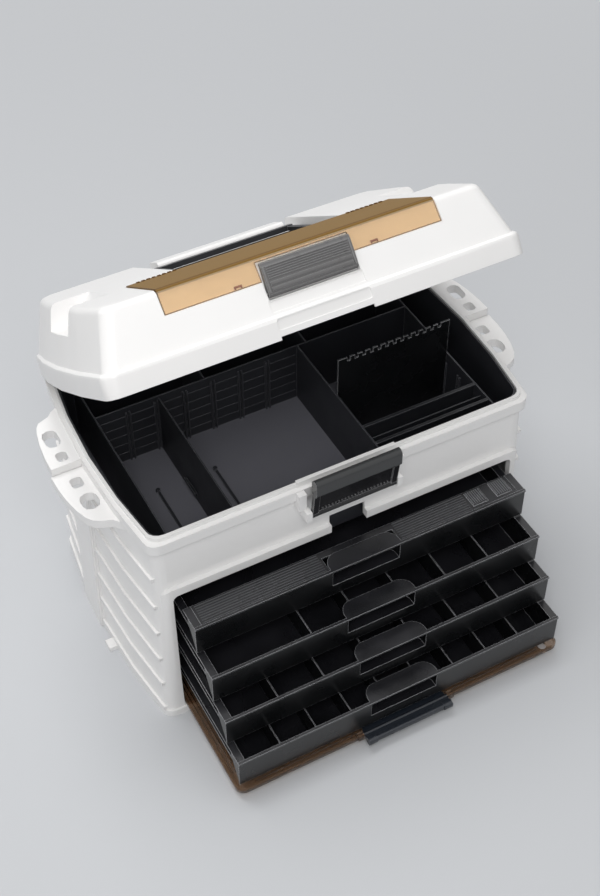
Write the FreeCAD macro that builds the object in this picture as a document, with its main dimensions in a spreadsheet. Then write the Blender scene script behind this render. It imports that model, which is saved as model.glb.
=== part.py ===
import FreeCAD, Part
import os
import re
import Sketcher

# A large lidded box with four sliding drawers, a drop-down front door and a
# see-through compartment in its lid. Millimetres, front towards -Y, up is +Z,
# origin on the floor under the middle of the case. Every piece stands as it does
# with the lid half open, the drawers drawn out in steps and the door lying flat.

doc = FreeCAD.newDocument("toolbox")
Vec = FreeCAD.Vector
sheet = doc.addObject("Spreadsheet::Sheet", "Dims")
aliases = []


def put(alias, value, words):
    """Write one size or one formula on the sheet, with its meaning beside it."""
    row = len(aliases) + 1
    sheet.set("A%d" % row, words)
    sheet.set("B%d" % row, value if isinstance(value, str) else repr(value))
    sheet.setAlias("B%d" % row, alias)
    aliases.append(alias)


# Case

put("wall", 3.0, "thickness of the white shells")
put("thin", 2.0, "thickness of the black mouldings")
put("gap", 0.4, "clearance between pieces that lie on each other")
put("run_gap", 0.6, "clearance beside pieces that slide")
put("front_low", -178.0, "front of the case at the floor")
put("front_high", -166.0, "front of the case under the rim")
put("back_low", 166.0, "back of the case at the floor")
put("back_high", 159.0, "back of the case under the rim")
put("corner_low", 264.0, "half width at the corners, at the floor")
put("corner_high", 256.5, "half width at the corners, under the rim")
put("bow_low", 16.0, "outward bow of each side at the floor")
put("bow_high", 14.2, "outward bow of each side at the rim")
put("floor_top", 11.7, "top of the case floor")
put("band_top", 312.0, "underside of the rim lip")
put("lip_top", 327.0, "top of the rim lip")
put("rim_top", 332.0, "top of the rim ridge")
put("lip_out", 5.0, "overhang of the rim lip")
put("rim_in_x", 252.9, "half width inside the rim at the corners")
put("rim_in_front", -160.0, "inside of the rim at the front")
put("rim_in_back", 153.0, "inside of the rim at the back")
put("corner_round", 14.0, "radius of the upright corners")
put("open_half", 241.5, "half width of the drawer opening")
put("open_top", 232.5, "top of the drawer opening")
put("open_round", 8.0, "corner radius of the drawer opening")
put("frame_out", 9.0, "how far the frame round the opening stands out")
put("frame_wide", 12.5, "width of that frame")
put("notch_half", 25.0, "half width of the notch over the opening")
put("notch_top", 257.0, "top of that notch")
put("rib_first", 14.0, "height of the lowest side rib")
put("rib_pitch", 49.4, "spacing of the side ribs")
put("rib_out", 3.0, "how far a side rib stands out")
put("rib_tall", 5.0, "height of a side rib")
put("column_from", 1.0, "front edge of the side column")
put("column_to", 65.0, "back edge of the side column")
put("column_out", 6.0, "how far the side column stands out")
put("ear_top_rear", 324.0, "top of the rear half of each ear")
put("ear_top_front", 312.8, "top of the front half of each ear")
put("ear_thick", 13.0, "thickness of the ears")
put("ear_reach", 316.0, "outermost point of the ears")

# Tub in the top of the case

put("tub_low", 212.0, "underside of the tub")
put("tub_floor", "=tub_low + 2.2", "top of the tub floor")
put("step_at", -137.6, "where the underside of the tub steps up, over the first drawer")
put("step_up", "=drawer_top + 2.4", "underside of the tub in front of that step")
put("tub_rim", 329.0, "top of the tub's outer wall")
put("tub_wall_top", 308.0, "top of the walls inside the tub")
put("bin_half", 229.0, "middle of the straight walls beside the bins")
put("bin_back", 77.0, "wall behind the front bins")
put("bin_split_left", -142.0, "wall between left and middle bin")
put("bin_split_right", 61.0, "wall between middle and right bin")
put("slot_first", -185.0, "first divider slot")
put("slot_pitch", 40.0, "spacing of the divider slots")
put("rack_top", 366.0, "top of the upright rack plate")
put("rack_at", -30.0, "depth position of the rack plate")
put("rack_pitch", 11.2, "spacing of the teeth of the rack plate")
put("rack_tooth", 6.0, "height of those teeth")
put("channel_front", -130.0, "front of the rack channel")
put("channel_back", -96.5, "back of the rack channel")
put("channel_deep", 30.0, "depth of the rack channel")

# Drawers and their runners

put("drawer_half", 235.0, "half width of a drawer front")
put("drawer_tall", 46.9, "height of a drawer front")
put("drawer_pitch", 49.2, "spacing of the drawers")
put("drawer_top", 219.0, "top of the first drawer front")
put("drawer_long", 298.0, "length of a drawer behind its front")
put("tray_half", 227.0, "half width of a drawer's trough")
put("front_thick", 2.5, "thickness of a drawer front")
put("shut_at", -180.0, "front face of a drawer that is shut")
put("out_first", 40.0, "how far the first drawer is drawn out")
put("out_second", 80.5, "how far the second drawer is drawn out")
put("out_third", 112.6, "how far the third drawer is drawn out")
put("out_fourth", 144.0, "how far the fourth drawer is drawn out")
put("rail_drop", 12.0, "drawer rail below the top of the drawer front")
put("pull_half", 50.0, "half width of the finger pull")
put("pull_deep", 25.0, "depth of the finger pull")
put("pull_tall", 31.0, "height of the finger pull")
put("pull_round", 18.0, "corner radius of the finger pull")
put("divider_thick", 1.6, "thickness of the loose dividers")
put("divider_tall", 38.0, "height of the loose dividers")
put("spread_second", 64.3, "spacing of the dividers in the second and third drawer")
put("spread_fourth", 50.0, "spacing of the dividers in the fourth drawer")
put("pad_drop", 2.4, "top of the ribbed insert below the top of the first drawer")
put("pad_deep", 33.0, "depth of the ribbed insert")
put("runner_in", 236.2, "inner face of the plates beside the drawers, from the middle")
put("runner_front", -153.5, "front edge of those plates")
put("runner_back", 124.5, "back edge of those plates")

# Front latch

put("latch_half", 58.5, "half width of the front latch")
put("latch_top", 355.0, "top of the front latch")
put("latch_pin_y", -183.0, "pin of the front latch, depth")
put("latch_pin_z", 292.0, "pin of the front latch, height")
put("latch_lean", 7.0, "how far the bar of the front latch stands out beyond its pin")
put("backing_half", 68.0, "half width of the raised rim behind the front latch")
put("backing_up", 3.0, "height of that raised rim above the ridge")

# Door

put("door_half", 239.6, "half width of the door")
put("door_front", -331.4, "free edge of the door")
put("door_long", 213.0, "length of the door")
put("door_low", "=floor_top + gap", "underside of the door")
put("door_thick", 3.0, "thickness of the door")
put("door_rim", 5.0, "height of the raised edge of the door")
put("door_round", 12.0, "corner radius of the door")
put("door_catch", 62.0, "half width of the latch of the door")
put("door_pin_y", -330.0, "pin of that latch, depth")
put("door_pin_z", 18.0, "pin of that latch, height")

# Lid, in its own frame: d runs forwards from the hinge, n upwards

put("hinge_at", 166.0, "hinge line of the lid, depth")
put("hinge_up", 330.0, "hinge line of the lid, height")
put("lid_open", 34.26, "how far the lid stands open, degrees")
put("lid_front", 342.2, "front of the lid flange")
put("lid_low", -2.0, "underside of the lid flange")
put("flange_top", 26.0, "top of the lid flange")
put("lid_half", 267.0, "half width of the flange at the front corners")
put("lid_bow", 14.0, "outward bow of the ends of the lid")
put("shoulder", 5.2, "step between the flange and the sloping part of the lid")
put("lid_top", 92.4, "top of the lid")
put("top_half", 240.0, "half width of the top of the lid")
put("top_front", 319.0, "front edge of the top of the lid")
put("top_back", 14.0, "back edge of the top of the lid")
put("seat_low", 89.0, "bottom of the seat for the window")
put("window_half", 176.5, "half width of the window")
put("window_back", 203.0, "back edge of the window")
put("window_low", 64.4, "lower edge of the window's front face")
put("window_thick", 3.0, "thickness of the window")
put("hole_half", 164.0, "half width of the compartment under the window")
put("hole_back", 214.0, "back of that compartment")
put("hole_front", 302.0, "front of that compartment")
put("compartment_low", 60.0, "underside of that compartment")
put("well_half", 111.0, "half width of the handle well")
put("well_low", 75.0, "bottom of the handle well")
put("well_front", 199.0, "front of the handle well")
put("window_axis", 206.5, "pins of the window, in front of the hinge line")
put("window_axis_up", 90.6, "pins of the window, above the hinge line")
put("catch_half", 57.0, "half width of the window latch")
put("catch_axis_up", 50.0, "pin of the window latch, above the hinge line")
put("handle_axis", 158.0, "pins of the handle, in front of the hinge line")
put("handle_axis_up", 84.0, "pins of the handle, above the hinge line")
put("grip_half", 90.0, "half width of the white grip")
put("pan_back", 62.0, "rear edge of the pan under the handle")
put("end_slot_from", 124.0, "back of the slot in each end of the lid")
put("end_slot_to", 212.0, "front of that slot")
put("end_slot_low", 61.0, "bottom of that slot")
put("end_slot_in", 200.0, "inner end of that slot")
doc.recompute()


def bound(text):
    """Turn a formula in the sheet's words into one that other objects can read."""
    return re.sub(r"[a-z_]+", lambda found: "Dims." + found.group()
                  if found.group() in aliases else found.group(), str(text))


def val(text):
    """Work out a formula now, as a plain number."""
    return float(sheet.evalExpression(bound(text)))


def bind(thing, prop, text):
    thing.setExpression(prop, bound(text))


# Small makers for sub-parts

def box(name, x, y, z):
    """A block between two values on each axis."""
    made = doc.addObject("Part::Box", name)
    for side, axis, pair in zip(("Length", "Width", "Height"), "xyz", (x, y, z)):
        bind(made, side, "(%s) - (%s)" % (pair[1], pair[0]))
        bind(made, "Placement.Base." + axis, "%s" % pair[0])
    return made


def rod(name, x, y, z, radius):
    """A round bar along X between two values, at a depth and a height."""
    made = doc.addObject("Part::Cylinder", name)
    made.Placement = FreeCAD.Placement(Vec(), FreeCAD.Rotation(Vec(0, 1, 0), 90))
    bind(made, "Radius", radius)
    bind(made, "Height", "(%s) - (%s)" % (x[1], x[0]))
    for axis, text in zip("xyz", (x[0], y, z)):
        bind(made, "Placement.Base." + axis, text)
    return made


def post(name, x, y, z, radius):
    """A round post along Z between two heights."""
    made = doc.addObject("Part::Cylinder", name)
    bind(made, "Radius", radius)
    bind(made, "Height", "(%s) - (%s)" % (z[1], z[0]))
    for axis, text in zip("xyz", (x, y, z[0])):
        bind(made, "Placement.Base." + axis, text)
    return made


def join(name, *parts):
    if len(parts) == 1:
        return parts[0]
    made = doc.addObject("Part::MultiFuse", name)
    made.Shapes = list(parts)
    return made


def cut(name, base, *tools):
    made = doc.addObject("Part::Cut", name)
    made.Base = base
    made.Tool = join(name + "_tools", *tools)
    return made


def overlap(name, first, second):
    made = doc.addObject("Part::Common", name)
    made.Base = first
    made.Tool = second
    return made


def group(name, *parts):
    """Separate solids that share one node."""
    made = doc.addObject("Part::Compound", name)
    made.Links = list(parts)
    return made


def draw(sketch, loops):
    """Draw closed loops and tie every corner to the sheet.

    A loop is a list of corners (x, y). The entry ("via", x, y) after a corner
    makes the next edge an arc through that point. A loop ("circle", x, y, r)
    is a full circle.
    """
    def fix(geometry, end, x, y):
        for kind, axis, text in (("DistanceX", -2, x), ("DistanceY", -1, y)):
            if str(text) == "0":
                sketch.addConstraint(Sketcher.Constraint("PointOnObject", geometry, end, axis))
                continue
            index = sketch.addConstraint(
                Sketcher.Constraint(kind, -1, 1, geometry, end, val(text)))
            sketch.setExpression("Constraints[%d]" % index, bound(text))

    for loop in loops:
        if loop[0] == "circle":
            centre = Vec(val(loop[1]), val(loop[2]), 0)
            number = sketch.addGeometry(Part.Circle(centre, Vec(0, 0, 1), val(loop[3])))
            index = sketch.addConstraint(Sketcher.Constraint("Radius", number, val(loop[3])))
            sketch.setExpression("Constraints[%d]" % index, bound(loop[3]))
            fix(number, 3, loop[1], loop[2])
            continue
        corners = [entry for entry in loop if entry[0] != "via"]
        vias = {}
        for entry in loop:
            if entry[0] == "via":
                vias[last] = entry[1:]
            else:
                last = corners.index(entry)
        ends = []
        for index, corner in enumerate(corners):
            start = Vec(val(corner[0]), val(corner[1]), 0)
            after = corners[(index + 1) % len(corners)]
            stop = Vec(val(after[0]), val(after[1]), 0)
            if index not in vias:
                number = sketch.addGeometry(Part.LineSegment(start, stop))
                ends.append((number, 1, 2))
                continue
            middle = Vec(val(vias[index][0]), val(vias[index][1]), 0)
            number = sketch.addGeometry(Part.Arc(start, middle, stop))
            begins = sketch.Geometry[number].StartPoint.distanceToPoint(start) < 1e-3
            ends.append((number, 1, 2) if begins else (number, 2, 1))
            dot = sketch.addGeometry(Part.Point(middle), True)
            sketch.addConstraint(Sketcher.Constraint("PointOnObject", dot, 1, number))
            fix(dot, 1, *vias[index])
        for index, corner in enumerate(corners):
            number, begin, end = ends[index]
            before = ends[index - 1]
            sketch.addConstraint(
                Sketcher.Constraint("Coincident", before[0], before[2], number, begin))
            fix(number, begin, corner[0], corner[1])


def sketch_on(body, name, plane, shift, loops):
    """A sketch on one of the body's own planes, moved along its normal."""
    made = body.newObject("Sketcher::SketchObject", name)
    role = {"XY": "XY_Plane", "XZ": "XZ_Plane", "YZ": "YZ_Plane"}[plane]
    flat = [item for item in body.Origin.OriginFeatures if item.Role == role][0]
    made.AttachmentSupport = [(flat, "")]
    made.MapMode = "FlatFace"
    bind(made, "AttachmentOffset.Base.z", shift)
    doc.recompute()
    draw(made, loops)
    return made


def slab(name, plane, low, high, loops):
    """A body padded from a sketch: XY upwards, YZ towards +X, XZ towards the front."""
    body = doc.addObject("PartDesign::Body", name)
    profile = sketch_on(body, name + "_outline", plane, low, loops)
    pad = body.newObject("PartDesign::Pad", name + "_pad")
    pad.Profile = profile
    bind(pad, "Length", "(%s) - (%s)" % (high, low))
    body.Tip = pad
    doc.recompute()
    return body


def bowed(front, back, half_front, half_back, bow, radius="corner_round"):
    """A plan outline with a straight front and back, bowed sides and round corners.

    The corners and the bowed sides are drawn in short straight steps.
    """
    deep = "((%s) - (%s))" % (back, front)
    corners = []
    for half, edge, inward in ((half_front, front, "+"), (half_back, back, "-")):
        bulge = "(%s) * 4 * (%s) / %s" % (bow, radius, deep)
        steps = []
        for angle in (0, 22.5, 45, 67.5, 90):
            x = "(%s) - (%s) + ((%s) + %s) * sin(%s deg)" % (half, radius, radius, bulge, angle)
            y = "(%s) %s (%s) * (1 - cos(%s deg))" % (edge, inward, radius, angle)
            steps.append((x, y))
        corners.append(steps)
    side = []
    for share in (0.25, 0.5, 0.75):
        x = "(%s) * %s + (%s) * %s + (%s) * %.4f" % (half_front, 1 - share, half_back, share, bow,
                                                     4 * share * (1 - share))
        side.append((x, "(%s) + %s * %s" % (front, deep, share)))
    right = corners[0] + side + corners[1][::-1]
    return right + [("-(%s)" % x, y) for x, y in right[::-1]]


def rounded(x, y, radius):
    """A rectangle with rounded corners, as a loop."""
    (x0, x1), (y0, y1), k = x, y, "0.29289 * (%s)" % radius
    return [("(%s) + (%s)" % (x0, radius), y0), ("(%s) - (%s)" % (x1, radius), y0),
            ("via", "(%s) - %s" % (x1, k), "(%s) + %s" % (y0, k)),
            (x1, "(%s) + (%s)" % (y0, radius)), (x1, "(%s) - (%s)" % (y1, radius)),
            ("via", "(%s) - %s" % (x1, k), "(%s) - %s" % (y1, k)),
            ("(%s) - (%s)" % (x1, radius), y1), ("(%s) + (%s)" % (x0, radius), y1),
            ("via", "(%s) + %s" % (x0, k), "(%s) - %s" % (y1, k)),
            (x0, "(%s) - (%s)" % (y1, radius)), (x0, "(%s) + (%s)" % (y0, radius)),
            ("via", "(%s) + %s" % (x0, k), "(%s) + %s" % (y0, k))]


def stepped(loop):
    """The same loop with each arc drawn as two straight lines."""
    return [entry[1:] if entry[0] == "via" else entry for entry in loop]


def lofted(name, levels):
    """A body lofted through plan outlines, from the lowest up."""
    body = doc.addObject("PartDesign::Body", name)
    sketches = []
    for index, (height, outline) in enumerate(levels):
        sketches.append(sketch_on(body, "%s_level_%d" % (name, index + 1), "XY", height, [outline]))
    loft = body.newObject("PartDesign::AdditiveLoft", name + "_loft")
    loft.Profile = sketches[0]
    loft.Sections = sketches[1:]
    loft.Ruled = True
    body.Tip = loft
    doc.recompute()
    return body


# Case shell

def case_outline(grow):
    """Plan outlines of the case at the floor and under the rim, grown by a margin."""
    return (bowed("front_low - (%s)" % grow, "back_low + (%s)" % grow, "corner_low + (%s)" % grow,
                  "corner_low + (%s)" % grow, "bow_low"),
            bowed("front_high - (%s)" % grow, "back_high + (%s)" % grow,
                  "corner_high + (%s)" % grow, "corner_high + (%s)" % grow, "bow_high"))


def case_solid(name, grow):
    low, high = case_outline(grow)
    return lofted(name, [("0", low), ("band_top", high)])


walls = case_solid("case_walls", "0")
rib_cover = case_solid("case_rib_cover", "rib_out")
column_cover = case_solid("case_column_cover", "column_out")
rib_bars = []
for level in range(6):
    low = "rib_first + %d * rib_pitch" % level
    heights = ("%s - rib_tall / 2" % low, "%s + rib_tall / 2" % low)
    start = "front_low + (front_high - front_low) * (%s) / band_top + 6" % low
    rib_bars.append(box("rib_front_%d" % (level + 1), ("-400", "400"),
                        (start, "column_from + 3"), heights))
    rib_bars.append(box("rib_back_%d" % (level + 1), ("-400", "400"),
                        ("column_to - 3", "back_high - 4"), heights))
rib_bars.append(box("rib_edge_front", ("-400", "400"), ("column_from - 2", "column_from + 2"),
                    ("0", "band_top")))
rib_bars.append(box("rib_edge_back", ("-400", "400"), ("column_to - 2", "column_to + 2"),
                    ("0", "band_top")))
ribs = overlap("case_ribs", rib_cover, join("case_rib_bars", *rib_bars))
columns = overlap("case_columns", column_cover, box(
    "column_block", ("-400", "400"), ("column_from", "column_to"), ("0", "band_top + 1")))
lip = slab("case_lip", "XY", "band_top - 0.5", "lip_top", [bowed(
    "front_high - lip_out", "back_high + lip_out", "corner_high + lip_out",
    "corner_high + lip_out", "bow_high")])
ridge = slab("case_ridge", "XY", "lip_top - 1", "rim_top", [bowed(
    "rim_in_front - wall * 1.4", "rim_in_back + wall", "rim_in_x + wall", "rim_in_x + wall",
    "bow_high")])
frame_block = slab("case_frame_block", "XZ", "-front_high - 6", "-front_high + frame_out", [[
    ("-open_half - frame_wide", "1"), ("open_half + frame_wide", "1"),
    ("open_half + frame_wide", "open_top"),
    ("via", "open_half + 0.707 * frame_wide", "open_top + 0.707 * frame_wide"),
    ("open_half", "open_top + frame_wide"), ("-open_half", "open_top + frame_wide"),
    ("via", "-open_half - 0.707 * frame_wide", "open_top + 0.707 * frame_wide"),
    ("-open_half - frame_wide", "open_top")]])
frame_cover = slab("case_frame_cover", "XY", "0", "open_top + frame_wide + 1", [bowed(
    "front_high - frame_out", "back_high", "open_half + frame_wide", "open_half + frame_wide", "0", "9")])
frame = overlap("case_frame", frame_block, frame_cover)
skirt = overlap("case_skirt", case_solid("case_skirt_cover", "2.5"), box(
    "skirt_block", ("-400", "400"), ("-400", "400"), ("0", "floor_top - 1")))

# A small foot in front of each side column.
feet = []
for side, sign in (("left", "-"), ("right", "")):
    across = sorted(("%s(corner_low + bow_low - 6)" % sign, "%s(corner_low + bow_low + 12)" % sign), key=val)
    feet.append(box("case_foot_" + side, across, ("column_from - 46", "column_from - 30"), ("0", "7")))

# Two-part handles on the ends; the openings in them are cut further down.
ears = []
ear_holes = []
for side, sign in (("left", "-"), ("right", "")):
    rear = [("rim_in_x - 1.7", "4"), ("ear_reach - 2", "4"), ("ear_reach - 2.5", "25"),
            ("ear_reach - 5", "50"), ("ear_reach - 9", "70"), ("ear_reach - 12.5", "80"),
            ("ear_reach - 17", "86"), ("ear_reach - 32", "91.5"), ("ear_reach - 38", "98"),
            ("rim_in_x - 1.7", "112")]
    front = [("rim_in_x - 1.7", "3"), ("ear_reach", "3"), ("ear_reach - 0.5", "-20"),
             ("ear_reach - 2.5", "-40"), ("ear_reach - 6.5", "-60"), ("ear_reach - 12", "-76"),
             ("ear_reach - 18", "-85"), ("ear_reach - 28", "-91"), ("ear_reach - 39", "-95"),
             ("ear_reach - 50", "-108"), ("rim_in_x - 1.7", "-114")]
    ears.append(slab("ear_rear_" + side, "XY", "ear_top_rear - ear_thick", "ear_top_rear",
                     [[(sign + "(%s)" % x, y) for x, y in rear]]))
    ears.append(slab("ear_front_" + side, "XY", "ear_top_front - ear_thick", "ear_top_front",
                     [[(sign + "(%s)" % x, y) for x, y in front]]))
    # The small opening of each half is nearly square, the large one is long.
    for number, (inner, outer, low, high, radius) in enumerate((
            ("29", "15", "11", "27", "4"), ("31", "12", "38", "68", "8"),
            ("32", "17", "-28", "-11", "4"), ("38", "16", "-68", "-41", "9"))):
        span = ("ear_reach - " + inner, "ear_reach - " + outer)
        if sign:
            span = ("-(%s)" % span[1], "-(%s)" % span[0])
        ear_holes.append(slab("ear_hole_%s_%d" % (side, number + 1), "XY",
                              "ear_top_front - ear_thick - 2", "ear_top_rear + 2",
                              [stepped(rounded(span, (low, high), radius))]))

# Raised rim behind the front latch, and the two brackets that hold its pin.
guards = [box("latch_backing", ("-backing_half", "backing_half"),
              ("rim_in_front - 5", "rim_in_front"), ("lip_top", "rim_top + backing_up"))]
for side, sign in (("left", "-"), ("right", "")):
    low = sorted(("%s(latch_half + 0.7)" % sign, "%s(latch_half + 8)" % sign), key=val)
    high = sorted(("%s(latch_half + 3.5)" % sign, "%s(latch_half + 14)" % sign), key=val)
    guards.append(box("bracket_low_" + side, low, ("latch_pin_y - 5", "front_high + 3"),
                      ("latch_pin_z - 7", "latch_pin_z + 8")))
    guards.append(box("bracket_high_" + side, high, ("front_high - 13", "front_high + 3"),
                      ("latch_pin_z + 7", "lip_top - 1.5")))

# Knuckles for the lid's hinge pins stand behind the lip.
knuckles = []
for side, sign in (("left", -1), ("right", 1)):
    for number, (inner, outer) in enumerate(((130, 146), (184, 200))):
        span = sorted((sign * inner, sign * outer))
        span = ("%d" % span[0], "%d" % span[1])
        tag = "%s_%d" % (side, number + 1)
        knuckles.append(rod("case_knuckle_" + tag, span, "hinge_at", "hinge_up", "5"))
        knuckles.append(box("case_knuckle_foot_" + tag, span, ("back_high + 1", "hinge_at + 4"),
                            ("316", "hinge_up - 2")))

solid_case = join("case_solid", walls, ribs, columns, lip, ridge, frame, skirt,
                  *(feet + ears + guards + knuckles))

inside = lofted("case_inside", [
    ("floor_top", bowed("front_low + wall", "back_low - wall", "corner_low - wall",
                        "corner_low - wall", "bow_low")),
    ("rim_top + 2", bowed("rim_in_front", "rim_in_back", "rim_in_x", "rim_in_x", "bow_high"))])
opening = slab("case_opening", "XZ", "-front_high - 10", "-front_low + 20", [[
    ("-open_half", "floor_top"), ("open_half", "floor_top"), ("open_half", "open_top - open_round"),
    ("via", "open_half - 0.293 * open_round", "open_top - 0.293 * open_round"),
    ("open_half - open_round", "open_top"), ("-open_half + open_round", "open_top"),
    ("via", "-open_half + 0.293 * open_round", "open_top - 0.293 * open_round"),
    ("-open_half", "open_top - open_round")]])
notch = box("case_notch", ("-notch_half", "notch_half"), ("front_low - 20", "front_high + 20"),
            ("open_top - 5", "notch_top"))
# The base is hollow from below in four fields, with a flat cross left between them.
undersides = [box("case_underside_%d%d" % (column, row), across, along, ("-1", "floor_top - wall"))
              for column, across in enumerate((("-corner_low + 6", "-12"), ("12", "corner_low - 6")))
              for row, along in enumerate((("front_low + 6", "-12"), ("12", "back_low - 6")))]
hinge_room = []
for side, span in (("left", ("-184", "-146")), ("right", ("146", "184"))):
    hinge_room.append(box("hinge_room_" + side, span, ("back_high + 0.2", "hinge_at + 20"),
                          ("320", "rim_top + 8")))
    ends = ("-203", "-127") if side == "left" else ("127", "203")
    hinge_room.append(rod("hinge_bore_" + side, ends, "hinge_at", "hinge_up", "2.55"))
latch_bore = rod("latch_bore", ("-latch_half - 6.5", "latch_half + 6.5"), "latch_pin_y",
                 "latch_pin_z", "2.05")
cut("case_shell", solid_case, inside, opening, notch, latch_bore,
    *(undersides + hinge_room + ear_holes))


# Black tub that hangs in the top of the case

def tub_outline(inset):
    return bowed("rim_in_front + (%s)" % inset, "rim_in_back - (%s)" % inset,
                 "rim_in_x - (%s)" % inset, "rim_in_x - (%s)" % inset, "bow_high")


tub_block = slab("tub_block", "XY", "tub_low", "tub_rim", [tub_outline("run_gap")])
tub_hollow = slab("tub_hollow", "XY", "tub_floor", "tub_rim + 5", [tub_outline("run_gap + thin")])
tub_bowl = cut("tub_bowl", tub_block, tub_hollow)
tub_step = overlap("tub_step", tub_block, box("tub_step_block", ("-300", "300"),
                   ("rim_in_front", "step_at + thin"), ("tub_low", "step_up + thin")))
tub_front = "rim_in_front + run_gap + thin"
upper = ("tub_floor - 0.5", "tub_wall_top")
partitions = [box("bin_back_wall", ("-bin_half - 1", "bin_half + 1"),
                  ("bin_back - 1", "bin_back + 1"), upper)]
for name, at, ends in (("left_side", "-bin_half", "rim_in_back - 2"),
                       ("right_side", "bin_half", "rim_in_back - 2"),
                       ("right_split", "bin_split_right", "bin_back"),
                       ("rear_left", "-75", "rim_in_back - 2"), ("rear_right", "75", "rim_in_back - 2")):
    begin = "bin_back" if "rear" in name else tub_front + " - 1"
    partitions.append(box("wall_" + name, ("%s - 1" % at, "%s + 1" % at), (begin, ends), upper))

# Upright slots for loose dividers stiffen the wall behind the bins.
for number in range(6):
    middle = "slot_first + %d * slot_pitch" % number
    for edge, shift in (("a", "- 3.4"), ("b", "+ 1.6")):
        across = ("%s %s" % (middle, shift), "%s %s + 1.8" % (middle, shift))
        partitions.append(box("slot_back_%d%s" % (number + 1, edge), across,
                              ("bin_back - 4", "bin_back"), ("tub_floor - 0.5", "tub_floor + 86")))
        partitions.append(box("slot_front_%d%s" % (number + 1, edge), across,
                              (tub_front + " - 1", tub_front + " + 3"),
                              ("tub_floor - 0.5", "tub_floor + 86")))
for tag, depth in (("rack", "rack_at"), ("mid", "-63")):
    for edge, shift in (("a", "- 3.6"), ("b", "+ 1.8")):
        along = ("%s %s" % (depth, shift), "%s %s + 1.8" % (depth, shift))
        partitions.append(box("post_left_%s%s" % (tag, edge),
                              ("bin_split_right", "bin_split_right + 3"), along,
                              ("tub_floor - 0.5", "tub_floor + 78")))
        partitions.append(box("post_right_%s%s" % (tag, edge),
                              ("bin_half - 3", "bin_half"), along,
                              ("tub_floor - 0.5", "tub_floor + 78")))

# Raised rails on the floor, each with a round stop at its rear end.
for number, across in enumerate(("-180.5", "-98.7")):
    partitions.append(box("floor_rail_%d" % (number + 1), ("%s - 2" % across, "%s + 2" % across),
                          ("-130", "4"), ("tub_floor - 0.5", "tub_floor + 1.8")))
    partitions.append(post("floor_stop_%d" % (number + 1), across, "6",
                           ("tub_floor - 0.5", "tub_floor + 4"), "3"))
channel_ledges = []
for tag, across in (("left", ("bin_split_right", "bin_split_right + 3.4")),
                    ("right", ("bin_half - 3.4", "bin_half"))):
    channel_ledges.append(box("channel_ledge_" + tag, across, ("channel_front", "channel_back"),
                              ("tub_wall_top - channel_deep - 4",
                               "tub_wall_top - channel_deep - gap")))
tub_whole = join("tub_whole", tub_bowl, tub_step, *(partitions + channel_ledges))
tub_step_room = box("tub_step_room", ("-300", "300"), ("rim_in_front - 1", "step_at"),
                    ("tub_low - 1", "step_up"))
cut("upper_tub", tub_whole, tub_step_room)

# Loose divider between the left and the middle bin, with a finger tab.
divider_front = tub_front + " + 3.6"
divider_plate = slab("divider_plate", "YZ", "bin_split_left - 0.9", "bin_split_left + 0.9", [[
    (divider_front, "step_up + thin + gap"), ("step_at + thin + gap", "step_up + thin + gap"),
    ("step_at + thin + gap", "tub_floor + gap"), ("bin_back - 4.6", "tub_floor + gap"),
    ("bin_back - 4.6", "tub_wall_top"), (divider_front, "tub_wall_top")]])
divider_tab = box("divider_tab", ("bin_split_left - 4", "bin_split_left"), ("-34", "-2"),
                  ("tub_floor + 10", "tub_floor + 16"))
join("tub_divider", divider_plate, divider_tab)

# Upright rack with a toothed top, and the channel that lies in front of it.
rack_plate = box("rack_sheet", ("bin_split_right + 1 + gap", "bin_half - 1 - gap"),
                 ("rack_at - 1.1", "rack_at + 1.1"), ("tub_floor + gap", "rack_top"))
teeth = []
for number in range(13):
    middle = "(bin_split_right + bin_half) / 2 + %d * rack_pitch" % (number - 6)
    teeth.append(box("rack_notch_%d" % (number + 1), ("%s - 2.2" % middle, "%s + 2.2" % middle),
                     ("rack_at - 3", "rack_at + 3"), ("rack_top - rack_tooth", "rack_top + 1")))
cut("rack_plate", rack_plate, *teeth)

channel_span = ("bin_split_right + 1 + gap", "bin_half - 1 - gap")
channel_block = box("channel_block", channel_span, ("channel_front", "channel_back"),
                    ("tub_wall_top - channel_deep", "tub_wall_top"))
channel_hollow = box("channel_hollow", ("bin_split_right - 5", "bin_half + 5"),
                     ("channel_front + thin", "channel_back - thin"),
                     ("tub_wall_top - channel_deep + thin", "tub_wall_top + 1"))
channel_lips = [box("channel_lip_front", channel_span, ("channel_front - 1.5", "channel_front + 3"),
                    ("tub_wall_top - thin", "tub_wall_top")),
                box("channel_lip_back", channel_span, ("channel_back - 3", "channel_back + 1.5"),
                    ("tub_wall_top - thin", "tub_wall_top")),
                box("channel_rib", channel_span,
                    ("(channel_front + channel_back) / 2 - 0.8",
                     "(channel_front + channel_back) / 2 + 0.8"),
                    ("tub_wall_top - channel_deep + 1", "tub_wall_top - 8"))]
join("rack_channel", cut("channel_trough", channel_block, channel_hollow), *channel_lips)


# Drawers

def divider_set(number, pitch, places):
    tag = "drawer_%d" % number
    top = "drawer_top - %d * drawer_pitch" % (number - 1)
    low = "%s - drawer_tall" % top
    back = "shut_at - %s + front_thick" % outs[number - 1]
    plates = []
    for count, place in enumerate(places):
        middle = "%s * %s" % (place, pitch)
        start = "%s + gap" % back
        if abs(val(middle)) < val("pull_half + 4"):
            start = "%s - front_thick + pull_deep + gap" % back
        plates.append(box("%s_plate_%d" % (tag, count + 1),
                          ("%s - divider_thick / 2" % middle, "%s + divider_thick / 2" % middle),
                          (start, "%s + drawer_long - thin - gap" % back),
                          ("%s + 1 + thin + 0.3" % low, "%s + 1 + thin + divider_tall" % low)))
    group(tag + "_dividers", *plates)


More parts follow.
